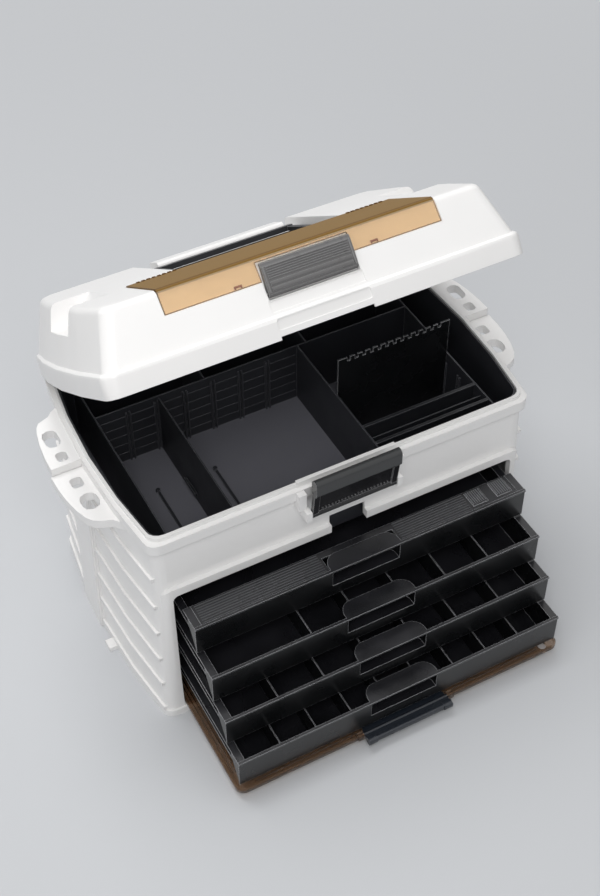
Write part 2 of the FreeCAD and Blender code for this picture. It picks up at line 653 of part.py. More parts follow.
def slot_ribs(number, pitch, places):
    """The small upright ribs in a drawer that hold its dividers."""
    tag = "drawer_%d" % number
    low = "drawer_top - %d * drawer_pitch - drawer_tall" % (number - 1)
    back = "shut_at - %s + front_thick" % outs[number - 1]
    height = ("%s + thin" % low, "%s + 1 + thin + divider_tall - 6" % low)
    ribs = []
    for count, place in enumerate(places):
        middle = "%s * %s" % (place, pitch)
        near = ("%s - 0.5" % back, "%s + 3" % back)
        if abs(val(middle)) < val("pull_half + 4"):
            near = ("%s - front_thick + pull_deep - 0.5" % back,
                    "%s - front_thick + pull_deep + 3" % back)
        far = ("%s + drawer_long - thin - 3" % back, "%s + drawer_long - thin + 0.5" % back)
        for edge, shift in (("a", "- divider_thick / 2 - 0.35 - 1.6"), ("b", "+ divider_thick / 2 + 0.35")):
            across = ("%s %s" % (middle, shift), "%s %s + 1.6" % (middle, shift))
            for end, depth in (("near", near), ("far", far)):
                ribs.append(box("%s_slot_%d%s_%s" % (tag, count + 1, edge, end), across, depth, height))
    return ribs


outs = ["out_first", "out_second", "out_third", "out_fourth"]
# Which of the evenly spaced places between the small ribs hold a divider.
spreads = {2: ("spread_second", (-2.5, -1.5, -0.5, 0.5, 1.5, 2.5)),
           3: ("spread_second", (-2.5, -1.5, -0.5, 0.5, 1.5, 2.5)),
           4: ("spread_fourth", (-3.5, -2.5, -1.5, -0.5, 0.5, 1.5, 2.5, 3.5))}
for number, drawn in enumerate(outs):
    tag = "drawer_%d" % (number + 1)
    top = "drawer_top - %d * drawer_pitch" % number
    low = "%s - drawer_tall" % top
    face = "shut_at - %s" % drawn
    back = "%s + front_thick" % face
    rail = "%s - rail_drop" % top
    wall_top = rail if number == 0 else "%s - 1" % top
    parts = [box(tag + "_front", ("-drawer_half", "drawer_half"), (face, back), (low, top)),
             box(tag + "_lip", ("-drawer_half", "drawer_half"), ("%s - 1.6" % face, back),
                 ("%s - 2.5" % top, top))]
    trough = box(tag + "_trough", ("-tray_half", "tray_half"),
                 ("%s + 1" % face, "%s + drawer_long" % back), ("%s + 1" % low, wall_top))
    hollow = box(tag + "_hollow", ("-tray_half + thin", "tray_half - thin"),
                 (back, "%s + drawer_long - thin" % back), ("%s + 1 + thin" % low, "%s + 5" % wall_top))
    parts.append(cut(tag + "_tray", trough, hollow))
    for side, inner, outer in (("left", "-drawer_half", "-tray_half + 0.5"),
                               ("right", "tray_half - 0.5", "drawer_half")):
        parts.append(box("%s_rail_%s" % (tag, side), (inner, outer),
                         ("%s + 1" % face, "%s + drawer_long" % back), ("%s - 2.5" % rail, rail)))
        wing = ("-drawer_half", "-drawer_half + thin") if side == "left" else (
            "drawer_half - thin", "drawer_half")
        parts.append(slab("%s_gusset_%s" % (tag, side), "YZ", wing[0], wing[1], [[
            (face + " + 1", "%s - 2" % top), ("%s + 18" % back, "%s - 4" % top),
            ("%s + 18" % back, "%s - 9" % top), (face + " + 1", "%s + 4" % low)]]))
        if number == 0:
            brow = ("-drawer_half", "-tray_half + thin") if side == "left" else (
                "tray_half - thin", "drawer_half")
            parts.append(box("%s_brow_%s" % (tag, side), brow, (face + " + 1", "%s + 32" % back),
                             ("%s - 3" % top, "%s - 1" % top)))
            cheek = ("-tray_half", "-tray_half + thin") if side == "left" else (
                "tray_half - thin", "tray_half")
            parts.append(box("%s_cheek_%s" % (tag, side), cheek, (face + " + 1", "%s + 32" % back),
                             ("%s - 3" % rail, "%s - 2" % top)))
        else:
            brow = ("-drawer_half", "-tray_half + thin") if side == "left" else (
                "tray_half - thin", "drawer_half")
            parts.append(box("%s_brow_%s" % (tag, side), brow,
                             (face + " + 1", "%s + drawer_long" % back),
                             ("%s - 3" % top, "%s - 1" % top)))
    # The finger pull is a rounded pocket open to the front, roofed at the top edge.
    pull = ("-pull_half", "pull_half")
    pull_block = slab(tag + "_pull", "XY", "%s - pull_tall" % top, top, [[
        ("-pull_half", face + " + 1"), ("pull_half", face + " + 1"),
        ("pull_half", "%s + pull_deep - pull_round" % face),
        ("via", "pull_half - 0.293 * pull_round", "%s + pull_deep - 0.293 * pull_round" % face),
        ("pull_half - pull_round", "%s + pull_deep" % face),
        ("-pull_half + pull_round", "%s + pull_deep" % face),
        ("via", "-pull_half + 0.293 * pull_round", "%s + pull_deep - 0.293 * pull_round" % face),
        ("-pull_half", "%s + pull_deep - pull_round" % face)]])
    parts.append(pull_block)
    if number:
        parts += slot_ribs(number + 1, *spreads[number + 1])
    pull_room = slab(tag + "_pull_room", "XY", "%s - pull_tall + thin" % top, "%s - 2.5" % top, [[
        ("-pull_half + thin", face + " - 4"), ("pull_half - thin", face + " - 4"),
        ("pull_half - thin", "%s + pull_deep - pull_round" % face),
        ("via", "pull_half - 0.293 * pull_round - thin * 0.7",
         "%s + pull_deep - 0.293 * pull_round - thin * 0.7" % face),
        ("pull_half - pull_round", "%s + pull_deep - thin" % face),
        ("-pull_half + pull_round", "%s + pull_deep - thin" % face),
        ("via", "-pull_half + 0.293 * pull_round + thin * 0.7",
         "%s + pull_deep - 0.293 * pull_round - thin * 0.7" % face),
        ("-pull_half + thin", "%s + pull_deep - pull_round" % face)]])
    body = join(tag + "_whole", *parts)
    cut(tag, body, pull_room)


# Loose dividers stand in all places but the first one of the second drawer

for number, (pitch, places) in spreads.items():
    divider_set(number, pitch, places[1:] if number == 2 else places)


# Ribbed insert behind the front of the first drawer, with two raised squares at its right end
first_back = "shut_at - out_first + front_thick"
pad_low = "drawer_top - pad_drop - 3"
pad_sheet = box("pad_sheet", ("-tray_half + thin + gap", "tray_half - thin - gap"),
                (first_back + " + gap", first_back + " + pad_deep"), (pad_low, "drawer_top - pad_drop"))
pad_feet = [box("pad_foot_%d" % (number + 1), ("%s - 1" % across, "%s + 1" % across),
                (first_back + " + 1", first_back + " + pad_deep - 1"),
                ("drawer_top - drawer_tall + 1 + thin + 0.3", pad_low + " + 1"))
            for number, across in enumerate(("-215", "-130", "130", "215"))]
pad_squares = [box("pad_square_%d" % (number + 1), ("%s - 11" % across, "%s + 11" % across),
                   (first_back + " + 6", first_back + " + pad_deep - 3"),
                   ("drawer_top - pad_drop - 1", "drawer_top - pad_drop + 1.2"))
               for number, across in enumerate(("tray_half - 54", "tray_half - 18"))]
pad_room = box("pad_room", ("-pull_half - gap", "pull_half + gap"),
               (first_back + " - 1", "shut_at - out_first + pull_deep + gap"),
               (pad_low + " - 1", "drawer_top + 1"))
cut("drawer_1_pad", join("pad_whole", pad_sheet, *(pad_feet + pad_squares)), pad_room)


# Inner side pieces with a ledge and a keeper for each drawer rail

for side, sign in (("left", "-"), ("right", "")):
    def across(inner, outer):
        if sign:
            return ("-(%s)" % outer, "-(%s)" % inner)
        return (inner, outer)

    tag = "runner_" + side
    parts = [box(tag + "_plate", across("runner_in", "runner_in + 2.5"), ("runner_front", "runner_back"),
                 ("20", "tub_low - 0.3")),
             box(tag + "_stop", across("tray_half + 1", "runner_in + 1"),
                 ("runner_back - 3", "runner_back"), ("20", "tub_low - 0.3"))]
    for number in range(4):
        rail = "drawer_top - %d * drawer_pitch - rail_drop" % number
        parts.append(box("%s_ledge_%d" % (tag, number + 1), across("tray_half + 1", "runner_in + 1"),
                         ("runner_front", "runner_back"), ("%s - 4.8" % rail, "%s - 2.8" % rail)))
        parts.append(box("%s_keeper_%d" % (tag, number + 1), across("tray_half + 1", "runner_in + 1"),
                         ("runner_front", "runner_back"), ("%s + 0.5" % rail, "%s + 2.5" % rail)))
    for number, depth in enumerate(("runner_front + 8", "-18", "runner_back - 16")):
        parts.append(box("%s_foot_%d" % (tag, number + 1), across("door_half + 1.4", "runner_in + 12.8"),
                         (depth, depth + " + 8"), ("floor_top + 0.3", "60")))
        parts.append(box("%s_arm_%d" % (tag, number + 1), across("runner_in + 1", "runner_in + 12.8"),
                         (depth, depth + " + 8"), ("30", "60")))
        parts.append(box("%s_brace_%d" % (tag, number + 1), across("runner_in + 1", "runner_in + 10"),
                         (depth, depth + " + 3"), ("55", "tub_low - 6")))
    join(tag, *parts)


# Front latch: a smoked lever that leans outwards, with a rounded bar on top

latch_bar = slab("latch_bar", "YZ", "-latch_half", "latch_half", [
    rounded(("latch_pin_y - latch_lean - 6", "latch_pin_y - latch_lean + 6"),
            ("latch_top - 25", "latch_top"), "5.5")])


def lever_plate(name, across, out, back):
    """A leaning plate between the pin and the bar, given by its two faces."""
    return slab(name, "YZ", across[0], across[1], [[
        ("latch_pin_y - %s" % out, "latch_pin_z - 4"), ("latch_pin_y + %s" % back, "latch_pin_z - 4"),
        ("latch_pin_y - latch_lean + %s" % back, "latch_top - 16"),
        ("latch_pin_y - latch_lean - %s" % out, "latch_top - 16")]])


latch_parts = [latch_bar, rod("latch_knuckle", ("-latch_half", "latch_half"), "latch_pin_y",
                              "latch_pin_z", "4.6"),
               lever_plate("latch_leg_left", ("-latch_half", "-latch_half + 8"), 3, 2.5),
               lever_plate("latch_leg_right", ("latch_half - 8", "latch_half"), 3, 2.5),
               lever_plate("latch_web", ("-latch_half + 7", "latch_half - 7"), 1.2, 0.8)]
cut("main_latch", join("latch_whole", *latch_parts),
    rod("latch_hole", ("-latch_half - 2", "latch_half + 2"), "latch_pin_y", "latch_pin_z", "2.05"))
rod("main_latch_pin", ("-latch_half - 6", "latch_half + 6"), "latch_pin_y", "latch_pin_z", "2")


# Pins of the lid hinge

group("hinge_pins", rod("hinge_pin_left", ("-202", "-128"), "hinge_at", "hinge_up", "2.5"),
      rod("hinge_pin_right", ("128", "202"), "hinge_at", "hinge_up", "2.5"))


# Door: a clear plate with raised edges that lies on the case floor

door_back = "door_front + door_long"
door_plate = slab("door_plate", "XY", "door_low", "door_low + door_thick", [[
    ("-door_half + door_round", "door_front"), ("door_half - door_round", "door_front"),
    ("via", "door_half - 0.293 * door_round", "door_front + 0.293 * door_round"),
    ("door_half", "door_front + door_round"), ("door_half", door_back),
    ("-door_half", door_back), ("-door_half", "door_front + door_round"),
    ("via", "-door_half + 0.293 * door_round", "door_front + 0.293 * door_round")]])
rim_room = slab("door_rim_room", "XY", "door_low + door_thick", "door_low + 20", [[
    ("-door_half + door_round", "door_front + 2.4"), ("door_half - door_round", "door_front + 2.4"),
    ("via", "door_half - 2.4 - 0.293 * (door_round - 2.4)",
     "door_front + 2.4 + 0.293 * (door_round - 2.4)"),
    ("door_half - 2.4", "door_front + door_round"), ("door_half - 2.4", door_back + " + 5"),
    ("-door_half + 2.4", door_back + " + 5"), ("-door_half + 2.4", "door_front + door_round"),
    ("via", "-door_half + 2.4 + 0.293 * (door_round - 2.4)",
     "door_front + 2.4 + 0.293 * (door_round - 2.4)")]])
rim_block = slab("door_rim_block", "XY", "door_low + 1", "door_low + door_rim + 0.4", [[
    ("-door_half + door_round", "door_front"), ("door_half - door_round", "door_front"),
    ("via", "door_half - 0.293 * door_round", "door_front + 0.293 * door_round"),
    ("door_half", "door_front + door_round"), ("door_half", door_back),
    ("-door_half", door_back), ("-door_half", "door_front + door_round"),
    ("via", "-door_half + 0.293 * door_round", "door_front + 0.293 * door_round")]])
door_edge = cut("door_edge", rim_block, rim_room)
door_parts = [door_edge]
for side, sign in (("left", "-"), ("right", "")):
    span = ("-door_catch - 9", "-door_catch - 0.6") if sign else ("door_catch + 0.6", "door_catch + 9")
    door_parts.append(box("door_boss_" + side, span, ("door_pin_y - 4", "door_pin_y + 4"),
                          ("door_low + 1", "door_pin_z + 3")))
door_room = box("door_room", ("-door_catch - 0.6", "door_catch + 0.6"),
                ("door_front - 5", "door_pin_y + 2.9"), ("door_low - 1", "door_low + 30"))
door_room_inner = box("door_room_inner", ("-door_catch - 0.6", "door_catch + 0.6"),
                      ("door_front - 6", "door_pin_y + 4"), ("door_low + door_thick", "door_low + 31"))
door_hole = slab("door_hole", "XY", "door_low - 2", "door_low + 25", [
    stepped(rounded(("door_half - 27", "door_half - 15"), ("door_front + 4", "door_front + 16"), "5"))])
peg_holes = [post("peg_hole_left", "-door_half + 14", "door_front + 20",
                  ("door_low - 1", "door_low + 20"), "3.1"),
             post("peg_hole_right", "door_half - 8.5", "door_front + 24",
                  ("door_low - 1", "door_low + 20"), "3.1")]
door_bore = rod("door_bore", ("-door_catch - 12", "door_catch + 12"), "door_pin_y", "door_pin_z", "1.25")
cut("door_panel", join("door_whole", door_plate, *door_parts), door_room, door_room_inner, door_hole,
    door_bore, *peg_holes)
pegs = []
for side, x, y in (("left", "-door_half + 14", "door_front + 20"),
                   ("right", "door_half - 8.5", "door_front + 24")):
    pegs.append(join("peg_" + side,
                     post("peg_stem_" + side, x, y, ("door_low", "door_low + 9"), "3"),
                     post("peg_head_" + side, x, y, ("door_low + 8", "door_low + 10.5"), "4.4")))
group("door_pegs", *pegs)

# Latch on the free edge of the door
catch_plate = slab("catch_plate", "XY", "door_pin_z - 1.8", "door_pin_z + 0.4", [[
    ("-door_catch", "door_pin_y"), ("door_catch", "door_pin_y"),
    ("door_catch - 9", "door_pin_y + 31"), ("-door_catch + 9", "door_pin_y + 31")]])
catch_parts = [catch_plate, rod("catch_knuckle", ("-door_catch", "door_catch"), "door_pin_y",
                                "door_pin_z", "2.4"),
               box("catch_neck", ("-door_catch", "door_catch"), ("door_pin_y - 10", "door_pin_y"),
                   ("door_pin_z - 1.8", "door_pin_z + 1.2")),
               slab("catch_lip", "YZ", "-door_catch", "door_catch", [
                   stepped(rounded(("door_pin_y - 15", "door_pin_y - 9"),
                                   ("door_pin_z - 5.5", "door_pin_z + 3.2"), "2"))])]
for side, span in (("left", ("-door_catch", "-door_catch + 12")),
                   ("right", ("door_catch - 12", "door_catch"))):
    catch_parts.append(slab("catch_boss_" + side, "YZ", span[0], span[1], [
        stepped(rounded(("door_pin_y - 16.5", "door_pin_y - 7"),
                        ("door_pin_z - 6", "door_pin_z + 4.3"), "3"))]))
cut("door_latch", join("catch_whole", *catch_parts),
    rod("catch_bore", ("-door_catch - 3", "door_catch + 3"), "door_pin_y", "door_pin_z", "1.25"))
rod("door_latch_pin", ("-door_catch - 8", "door_catch + 8"), "door_pin_y", "door_pin_z", "1.2")


# Lid, made lying shut in its own frame: x across, -y forwards, z up from the hinge line

def on_lid(node):
    """Swing a finished piece up with the lid and set it on the hinge line."""
    node.Placement = FreeCAD.Placement(Vec(0, val("hinge_at"), val("hinge_up")),
                                       FreeCAD.Rotation(Vec(-1, 0, 0), val("lid_open")))
    bind(node, "Placement.Base.y", "hinge_at")
    bind(node, "Placement.Base.z", "hinge_up")
    bind(node, "Placement.Rotation.Angle", "lid_open")
    return node


def slope(height, inset):
    """Depth of the sloping front of the lid at a height, moved in by an amount."""
    return "-(lid_front - shoulder - ((%s) - flange_top) * (lid_front - shoulder - top_front)" \
        " / (lid_top - flange_top) - (%s))" % (height, inset)


def lid_shape(name, inset, low, high):
    """Flange and sloping upper part of the lid, moved in by an amount on all sides."""
    levels = []
    for height, tuck in ((low, "0"), ("flange_top - 6 - (%s)" % inset, "0"),
                         ("flange_top - 2.2 - (%s)" % inset, "1.2"), ("flange_top - (%s)" % inset, "4.4")):
        levels.append((height, bowed(
            "-lid_front + (%s) + (%s)" % (inset, tuck), "-1 - (%s) - (%s)" % (inset, tuck),
            "lid_half - (%s) - (%s)" % (inset, tuck), "lid_half - 3 - (%s) - (%s)" % (inset, tuck),
            "lid_bow", "16")))
    flange = lofted(name + "_flange", levels)
    levels = []
    for height, tuck in (("flange_top - 4 - (%s)" % inset, "0"), ("%s - 7" % high, "0"),
                         ("%s - 3.4" % high, "0.9"), ("%s - 1.1" % high, "3"), (high, "6.4")):
        part = "((%s) - flange_top) / (lid_top - flange_top)" % height
        side = "lid_half - shoulder - (%s) * (lid_half - shoulder - top_half) - (%s) - (%s)" % (
            part, inset, tuck)
        rear = "-(4 + (%s) * (top_back - 4) + (%s) + (%s))" % (part, inset, tuck)
        levels.append((height, bowed("%s + (%s)" % (slope(height, inset), tuck), rear, side,
                                     side + " - 2", "lid_bow - 1", "14")))
    upper = lofted(name + "_upper", levels)
    return join(name, flange, upper)


lid_outer = lid_shape("lid_outer", "0", "lid_low", "lid_top")
lid_inner = lid_shape("lid_inner", "wall", "lid_low - 5", "lid_top - wall")
lid_hull = cut("lid_hull", lid_outer, lid_inner)

# Blocks inside the lid become the linings of its hollows once the hollows are cut.
seat = slab("lid_seat_block", "YZ", "-window_half - 4.5", "window_half + 4.5", [[
    ("-window_back + 4", "lid_top + 1"), ("-window_back + 4", "seat_low - wall"),
    (slope("seat_low - wall", "7"), "seat_low - wall"), (slope("window_low - 4", "7"), "window_low - 4"),
    (slope("window_low - 4", "-3"), "window_low - 4"), (slope("lid_top + 1", "-3"), "lid_top + 1")]])
catch_block = box("lid_catch_block", ("-catch_half - 9", "catch_half + 9"),
                  ("-lid_front", slope("catch_axis_up", "9.5")), ("catch_axis_up - 10", "window_low + 3"))
well = box("lid_well_block", ("-well_half - wall", "well_half + wall"), ("-window_back", "0"),
           ("well_low - wall", "lid_top + 1"))
well_boxes = [well]
end_cuts = []
for side, sign in (("left", "-"), ("right", "")):
    outline = [(sign + "(%s)" % x, z) for x, z in (
        ("end_slot_in - 4.6", "lid_top + 1"), ("end_slot_in + 31", "end_slot_low - wall"),
        ("lid_half + 20", "end_slot_low - wall"), ("lid_half + 20", "lid_top + 1"))]
    well_boxes.append(slab("lid_end_block_" + side, "XZ", "end_slot_from - wall", "end_slot_to + wall",
                           [outline]))
    outline = [(sign + "(%s)" % x, z) for x, z in (
        ("end_slot_in", "lid_top + 0.4"), ("end_slot_in + 35", "end_slot_low"),
        ("lid_half + 30", "end_slot_low"), ("lid_half + 30", "lid_top + 5"),
        ("end_slot_in", "lid_top + 5"))]
    end_cuts.append(slab("lid_end_cut_" + side, "XZ", "end_slot_from", "end_slot_to", [outline]))
linings = overlap("lid_linings", lid_outer, join("lid_blocks", seat, catch_block, *well_boxes))

lid_knuckles = []
for side, span in (("left", ("-183.5", "-146.5")), ("right", ("146.5", "183.5"))):
    lid_knuckles.append(rod("lid_knuckle_" + side, span, "0", "0", "5"))
lid_whole = join("lid_whole", lid_hull, linings, *lid_knuckles)

window_rebate = slab("window_rebate", "YZ", "-window_half - 1", "window_half + 1", [[
    ("-window_back + 1", "seat_low"), (slope("seat_low", "3.6"), "seat_low"),
    (slope("window_low - gap", "3.6"), "window_low - gap"), ("-lid_front - 5", "window_low - gap"),
    ("-lid_front - 5", "lid_top + 5"), ("-window_back + 1", "lid_top + 5")]])
pin_groove = box("pin_groove", ("-window_half - 1", "window_half + 1"),
                 ("-window_back - 8", "-window_back + 1"), ("seat_low - 1.6", "lid_top + 5"))
well_cut = box("well_cut", ("-well_half", "well_half"), ("-well_front", "10"),
               ("well_low - 1", "lid_top + 5"))
tray_hole = box("tray_hole", ("-hole_half - 1", "hole_half + 1"), ("-hole_front - 3", "-hole_back + 2"),
                ("compartment_low - 10", "lid_top + 5"))
catch_room = box("catch_room", ("-catch_half - 1.5", "catch_half + 1.5"),
                 ("-lid_front - 5", slope("catch_axis_up", "5.6")), ("catch_axis_up - 7", "lid_top + 5"))
catch_panel = slab("catch_panel", "XZ", "lid_front - 1.4", "lid_front + 5", [
    rounded(("-60", "60"), ("9", "22"), "3")])
catch_panel_upper = slab("catch_panel_upper", "YZ", "-60", "60", [[
    (slope("29", "1.4"), "29"), (slope("42", "1.4"), "42"), ("-lid_front - 9", "42"),
    ("-lid_front - 9", "29")]])
latch_gap = box("lid_latch_gap", ("-latch_half - 1.5", "latch_half + 1.5"),
                ("-lid_front - 5", "-lid_front + 5"), ("lid_low - 1", "lid_low + 4"))
knuckle_gaps = []
for side, sign in (("left", -1), ("right", 1)):
    for number, (inner, outer) in enumerate(((129.4, 146.4), (183.6, 200.6))):
        span = sorted((sign * inner, sign * outer))
        knuckle_gaps.append(box("knuckle_gap_%s_%d" % (side, number + 1),
                                ("%.1f" % span[0], "%.1f" % span[1]), ("-6", "10"),
                                ("lid_low - 1", "8")))
    ends = ("-203", "-127") if side == "left" else ("127", "203")
    knuckle_gaps.append(rod("lid_pin_bore_" + side, ends, "0", "0", "2.55"))
handle_bores = [rod("handle_bore", ("-well_half - 2.4", "well_half + 2.4"), "-handle_axis",
                    "handle_axis_up", "2.05")]
window_bores = [rod("window_bore", ("-window_half - 3.4", "window_half + 3.4"), "-window_axis",
                    "window_axis_up", "1.25"),
                rod("window_catch_bore", ("-catch_half - 5", "catch_half + 5"),
                    slope("catch_axis_up", "2"), "catch_axis_up", "1.25")]
lid_shell = on_lid(cut("lid_shell", lid_whole, window_rebate, well_cut, tray_hole, catch_room, catch_panel,
                       catch_panel_upper, latch_gap,
                       pin_groove, *(end_cuts + knuckle_gaps + handle_bores + window_bores)))

# Black tray under the window
tray_block = box("tray_block", ("-hole_half", "hole_half"), ("-hole_front", "-hole_back + 1"),
                 ("compartment_low", "seat_low + 0.5"))
tray_flange = box("tray_flange", ("-hole_half - 8", "hole_half + 8"), ("-hole_front - 6", "-hole_back + 4"),
                  ("seat_low + 0.3", "seat_low + 1.3"))
tray_hollow = box("tray_hollow", ("-hole_half + thin", "hole_half - thin"),
                  ("-hole_front + thin", "-hole_back + 1 - thin"), ("compartment_low + thin", "lid_top"))
tray_walls = [box("tray_wall_%d" % (number + 1), ("%s - 0.8" % across, "%s + 0.8" % across),
                  ("-hole_front + 1", "-hole_back"), ("compartment_low + 1", "seat_low - 3"))
              for number, across in enumerate(("-hole_half / 2", "0", "hole_half / 2"))]
on_lid(join("window_tray", cut("tray_shell", join("tray_whole", tray_block, tray_flange), tray_hollow),
            *tray_walls))

# Window: top plate and sloping front plate in one, with small grip teeth at its rear edge
plate_low = "seat_low + 1.7"
plate_high = "seat_low + 1.7 + window_thick"
window_bend = slab("window_bend", "YZ", "-window_half", "window_half", [[
    ("-window_back - 1.5", plate_low), (slope(plate_low, "window_thick + 1.2"), plate_low),
    (slope(plate_low + " - 1.2", "window_thick"), plate_low + " - 1.2"),
    (slope("window_low", "window_thick"), "window_low"), (slope("window_low", "0"), "window_low"),
    (slope("lid_top - 3", "0"), "lid_top - 3"), (slope("lid_top - 0.6", "0.6"), "lid_top - 0.6"),
    (slope(plate_high, "3.4"), plate_high), ("-window_back - 1.5", plate_high)]])
window_parts = [window_bend]
for side, sign in (("left", -1), ("right", 1)):
    span = ("-window_half", "-window_half + 11") if sign < 0 else ("window_half - 11", "window_half")
    window_parts.append(rod("window_knuckle_" + side, span, "-window_axis", "window_axis_up", "2.2"))
    for number in range(8):
        middle = "%d * (window_half - 14 - %d * 6.6)" % (sign, number)
        window_parts.append(box("window_tooth_%s_%d" % (side, number + 1),
                                ("%s - 1.7" % middle, "%s + 1.7" % middle),
                                ("-window_back - 8", "-window_back - 3"),
                                (plate_high + " - 1", plate_high + " + 1")))
window_notch = box("window_notch", ("-catch_half - 1.5", "catch_half + 1.5"),
                   ("-lid_front", slope("lid_top", "9")), ("window_low - 5", "catch_axis_up + 36.4"))
on_lid(cut("window", join("window_whole", *window_parts), window_notch,
           rod("window_pin_room", ("-window_half - 1", "window_half + 1"), "-window_axis", "window_axis_up",
               "1.25")))
on_lid(group("window_pins", *[rod("window_pin_" + side, span, "-window_axis", "window_axis_up", "1.2")
                              for side, span in (("left", ("-window_half - 3.2", "-window_half + 10")),
                                                 ("right", ("window_half - 10", "window_half + 3.2")))]))

# Latch of the window
axis_y = slope("catch_axis_up", "2")
lever = slab("catch_lever", "YZ", "-catch_half", "catch_half", [[
    (axis_y + " - 2.4", "catch_axis_up - 4.6"), (axis_y + " - 5.6", "catch_axis_up - 1"),
    (axis_y + " - 5", "catch_axis_up + 9"), (axis_y + " - 1.8", "catch_axis_up + 30.5"),
    (axis_y + " + 0.4", "catch_axis_up + 34.6"), (axis_y + " + 3.4", "catch_axis_up + 35.4"),
    (axis_y + " + 4.4", "catch_axis_up + 33.4"), (axis_y + " + 1.8", "catch_axis_up + 29.5"),
    (axis_y + " - 1.4", "catch_axis_up + 9"), (axis_y + " + 1", "catch_axis_up - 2")]])
lever_parts = [lever, rod("catch_hub", ("-catch_half", "catch_half"), axis_y, "catch_axis_up", "2.8")]
for side, span in (("left", ("-catch_half", "-catch_half + 3")),
                   ("right", ("catch_half - 3", "catch_half"))):
    lever_parts.append(slab("catch_cheek_" + side, "YZ", span[0], span[1], [[
        (axis_y + " - 5.2", "catch_axis_up + 2"), (axis_y + " - 1.8", "catch_axis_up + 30.5"),
        (axis_y + " + 3.6", "catch_axis_up + 33"), (axis_y + " + 2.2", "catch_axis_up + 2")]]))
on_lid(cut("window_latch", join("catch_lever_whole", *lever_parts),
           rod("catch_lever_bore", ("-catch_half - 3", "catch_half + 3"), axis_y, "catch_axis_up", "1.25")))
on_lid(group("window_latch_pin", rod("window_latch_rod", ("-catch_half - 4.6", "catch_half + 4.6"),
                                     axis_y, "catch_axis_up", "1.2")))

# Carrying handle in its well
pan_block = box("pan_block", ("-well_half + gap", "well_half - gap"), ("-well_front + gap", "-pan_back"),
                ("well_low - 1 + 0.3", "well_low + 3.5"))
pan_hollow = box("pan_hollow", ("-well_half + gap + thin", "well_half - gap - thin"),
                 ("-well_front + gap + thin", "-pan_back - thin"), ("well_low + 1", "well_low + 5"))
on_lid(cut("handle_pan", pan_block, pan_hollow))

arms = []
for side, span in (("left", ("-98", "-90")), ("right", ("90", "98"))):
    arms.append(box("handle_arm_" + side, span, ("-handle_axis", "-58"),
                    ("handle_axis_up - 4", "handle_axis_up + 1.5")))
    arms.append(rod("handle_hub_" + side, span, "-handle_axis", "handle_axis_up", "4"))
arms.append(box("handle_bar", ("-98", "98"), ("-70", "-60.3"),
                ("handle_axis_up - 4", "handle_axis_up + 3")))
arms.append(box("handle_inner_bar", ("-91", "91"), ("-144", "-138"),
                ("handle_axis_up - 3", "handle_axis_up + 1")))
on_lid(cut("handle_frame", join("handle_frame_whole", *arms),
           rod("handle_frame_bore", ("-100", "100"), "-handle_axis", "handle_axis_up", "2.05")))
grip = slab("grip_bar", "YZ", "-grip_half", "grip_half", [
    rounded(("-60", "-25"), ("well_low + 4", "lid_top"), "5")])
grip_room = slab("grip_room", "YZ", "-grip_half + 4", "grip_half - 4", [
    rounded(("-56.5", "-28.5"), ("well_low - 2", "lid_top - 3.5"), "2.5")])
on_lid(cut("handle_grip", grip, grip_room))
on_lid(group("handle_pins", rod("handle_pin_left", ("-well_half - 2.2", "-89"), "-handle_axis",
                                "handle_axis_up", "2"),
             rod("handle_pin_right", ("89", "well_half + 2.2"), "-handle_axis", "handle_axis_up", "2")))


# Name, check and write the pieces

NODES = ["case_shell", "upper_tub", "tub_divider", "rack_plate", "rack_channel", "runner_left",
         "runner_right", "hinge_pins", "main_latch_pin", "main_latch", "drawer_1", "drawer_2",
         "drawer_3", "drawer_4", "drawer_1_pad", "drawer_2_dividers", "drawer_3_dividers",
         "drawer_4_dividers", "lid_shell", "window_tray", "handle_pan", "handle_frame", "handle_grip",
         "handle_pins", "window", "window_pins", "window_latch", "window_latch_pin", "door_panel",
         "door_pegs", "door_latch", "door_latch_pin"]

doc.recompute()
for item in doc.Objects:
    if "Invalid" in item.State or "Error" in item.State:
        raise RuntimeError("%s did not recompute" % item.Name)
    if hasattr(item, "Shape") and not item.Name.endswith(("Axis", "Plane", "Origin")):
        if item.Shape.isNull():
            raise RuntimeError("%s has no shape" % item.Name)
os.makedirs("parts", exist_ok=True)
for name in NODES:
    node = doc.getObject(name)
    node.Label = name
    if not node.Shape.isValid():
        raise RuntimeError("%s is not a valid solid" % name)
    node.Shape.exportStep("parts/%s.step" % name)
    print("%-20s %d solids, %d faces" % (name, len(node.Shape.Solids), len(node.Shape.Faces)))
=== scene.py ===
# %% [markdown]
# # A toolbox with drawers, a clear door and a see-through pocket in its lid
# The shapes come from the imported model. This notebook gives each piece the finish of the
# moulded plastic it is made of, and adds the ribs and grips that are too fine for the
# model. It ends with a plain studio and a camera where the photographer stood.

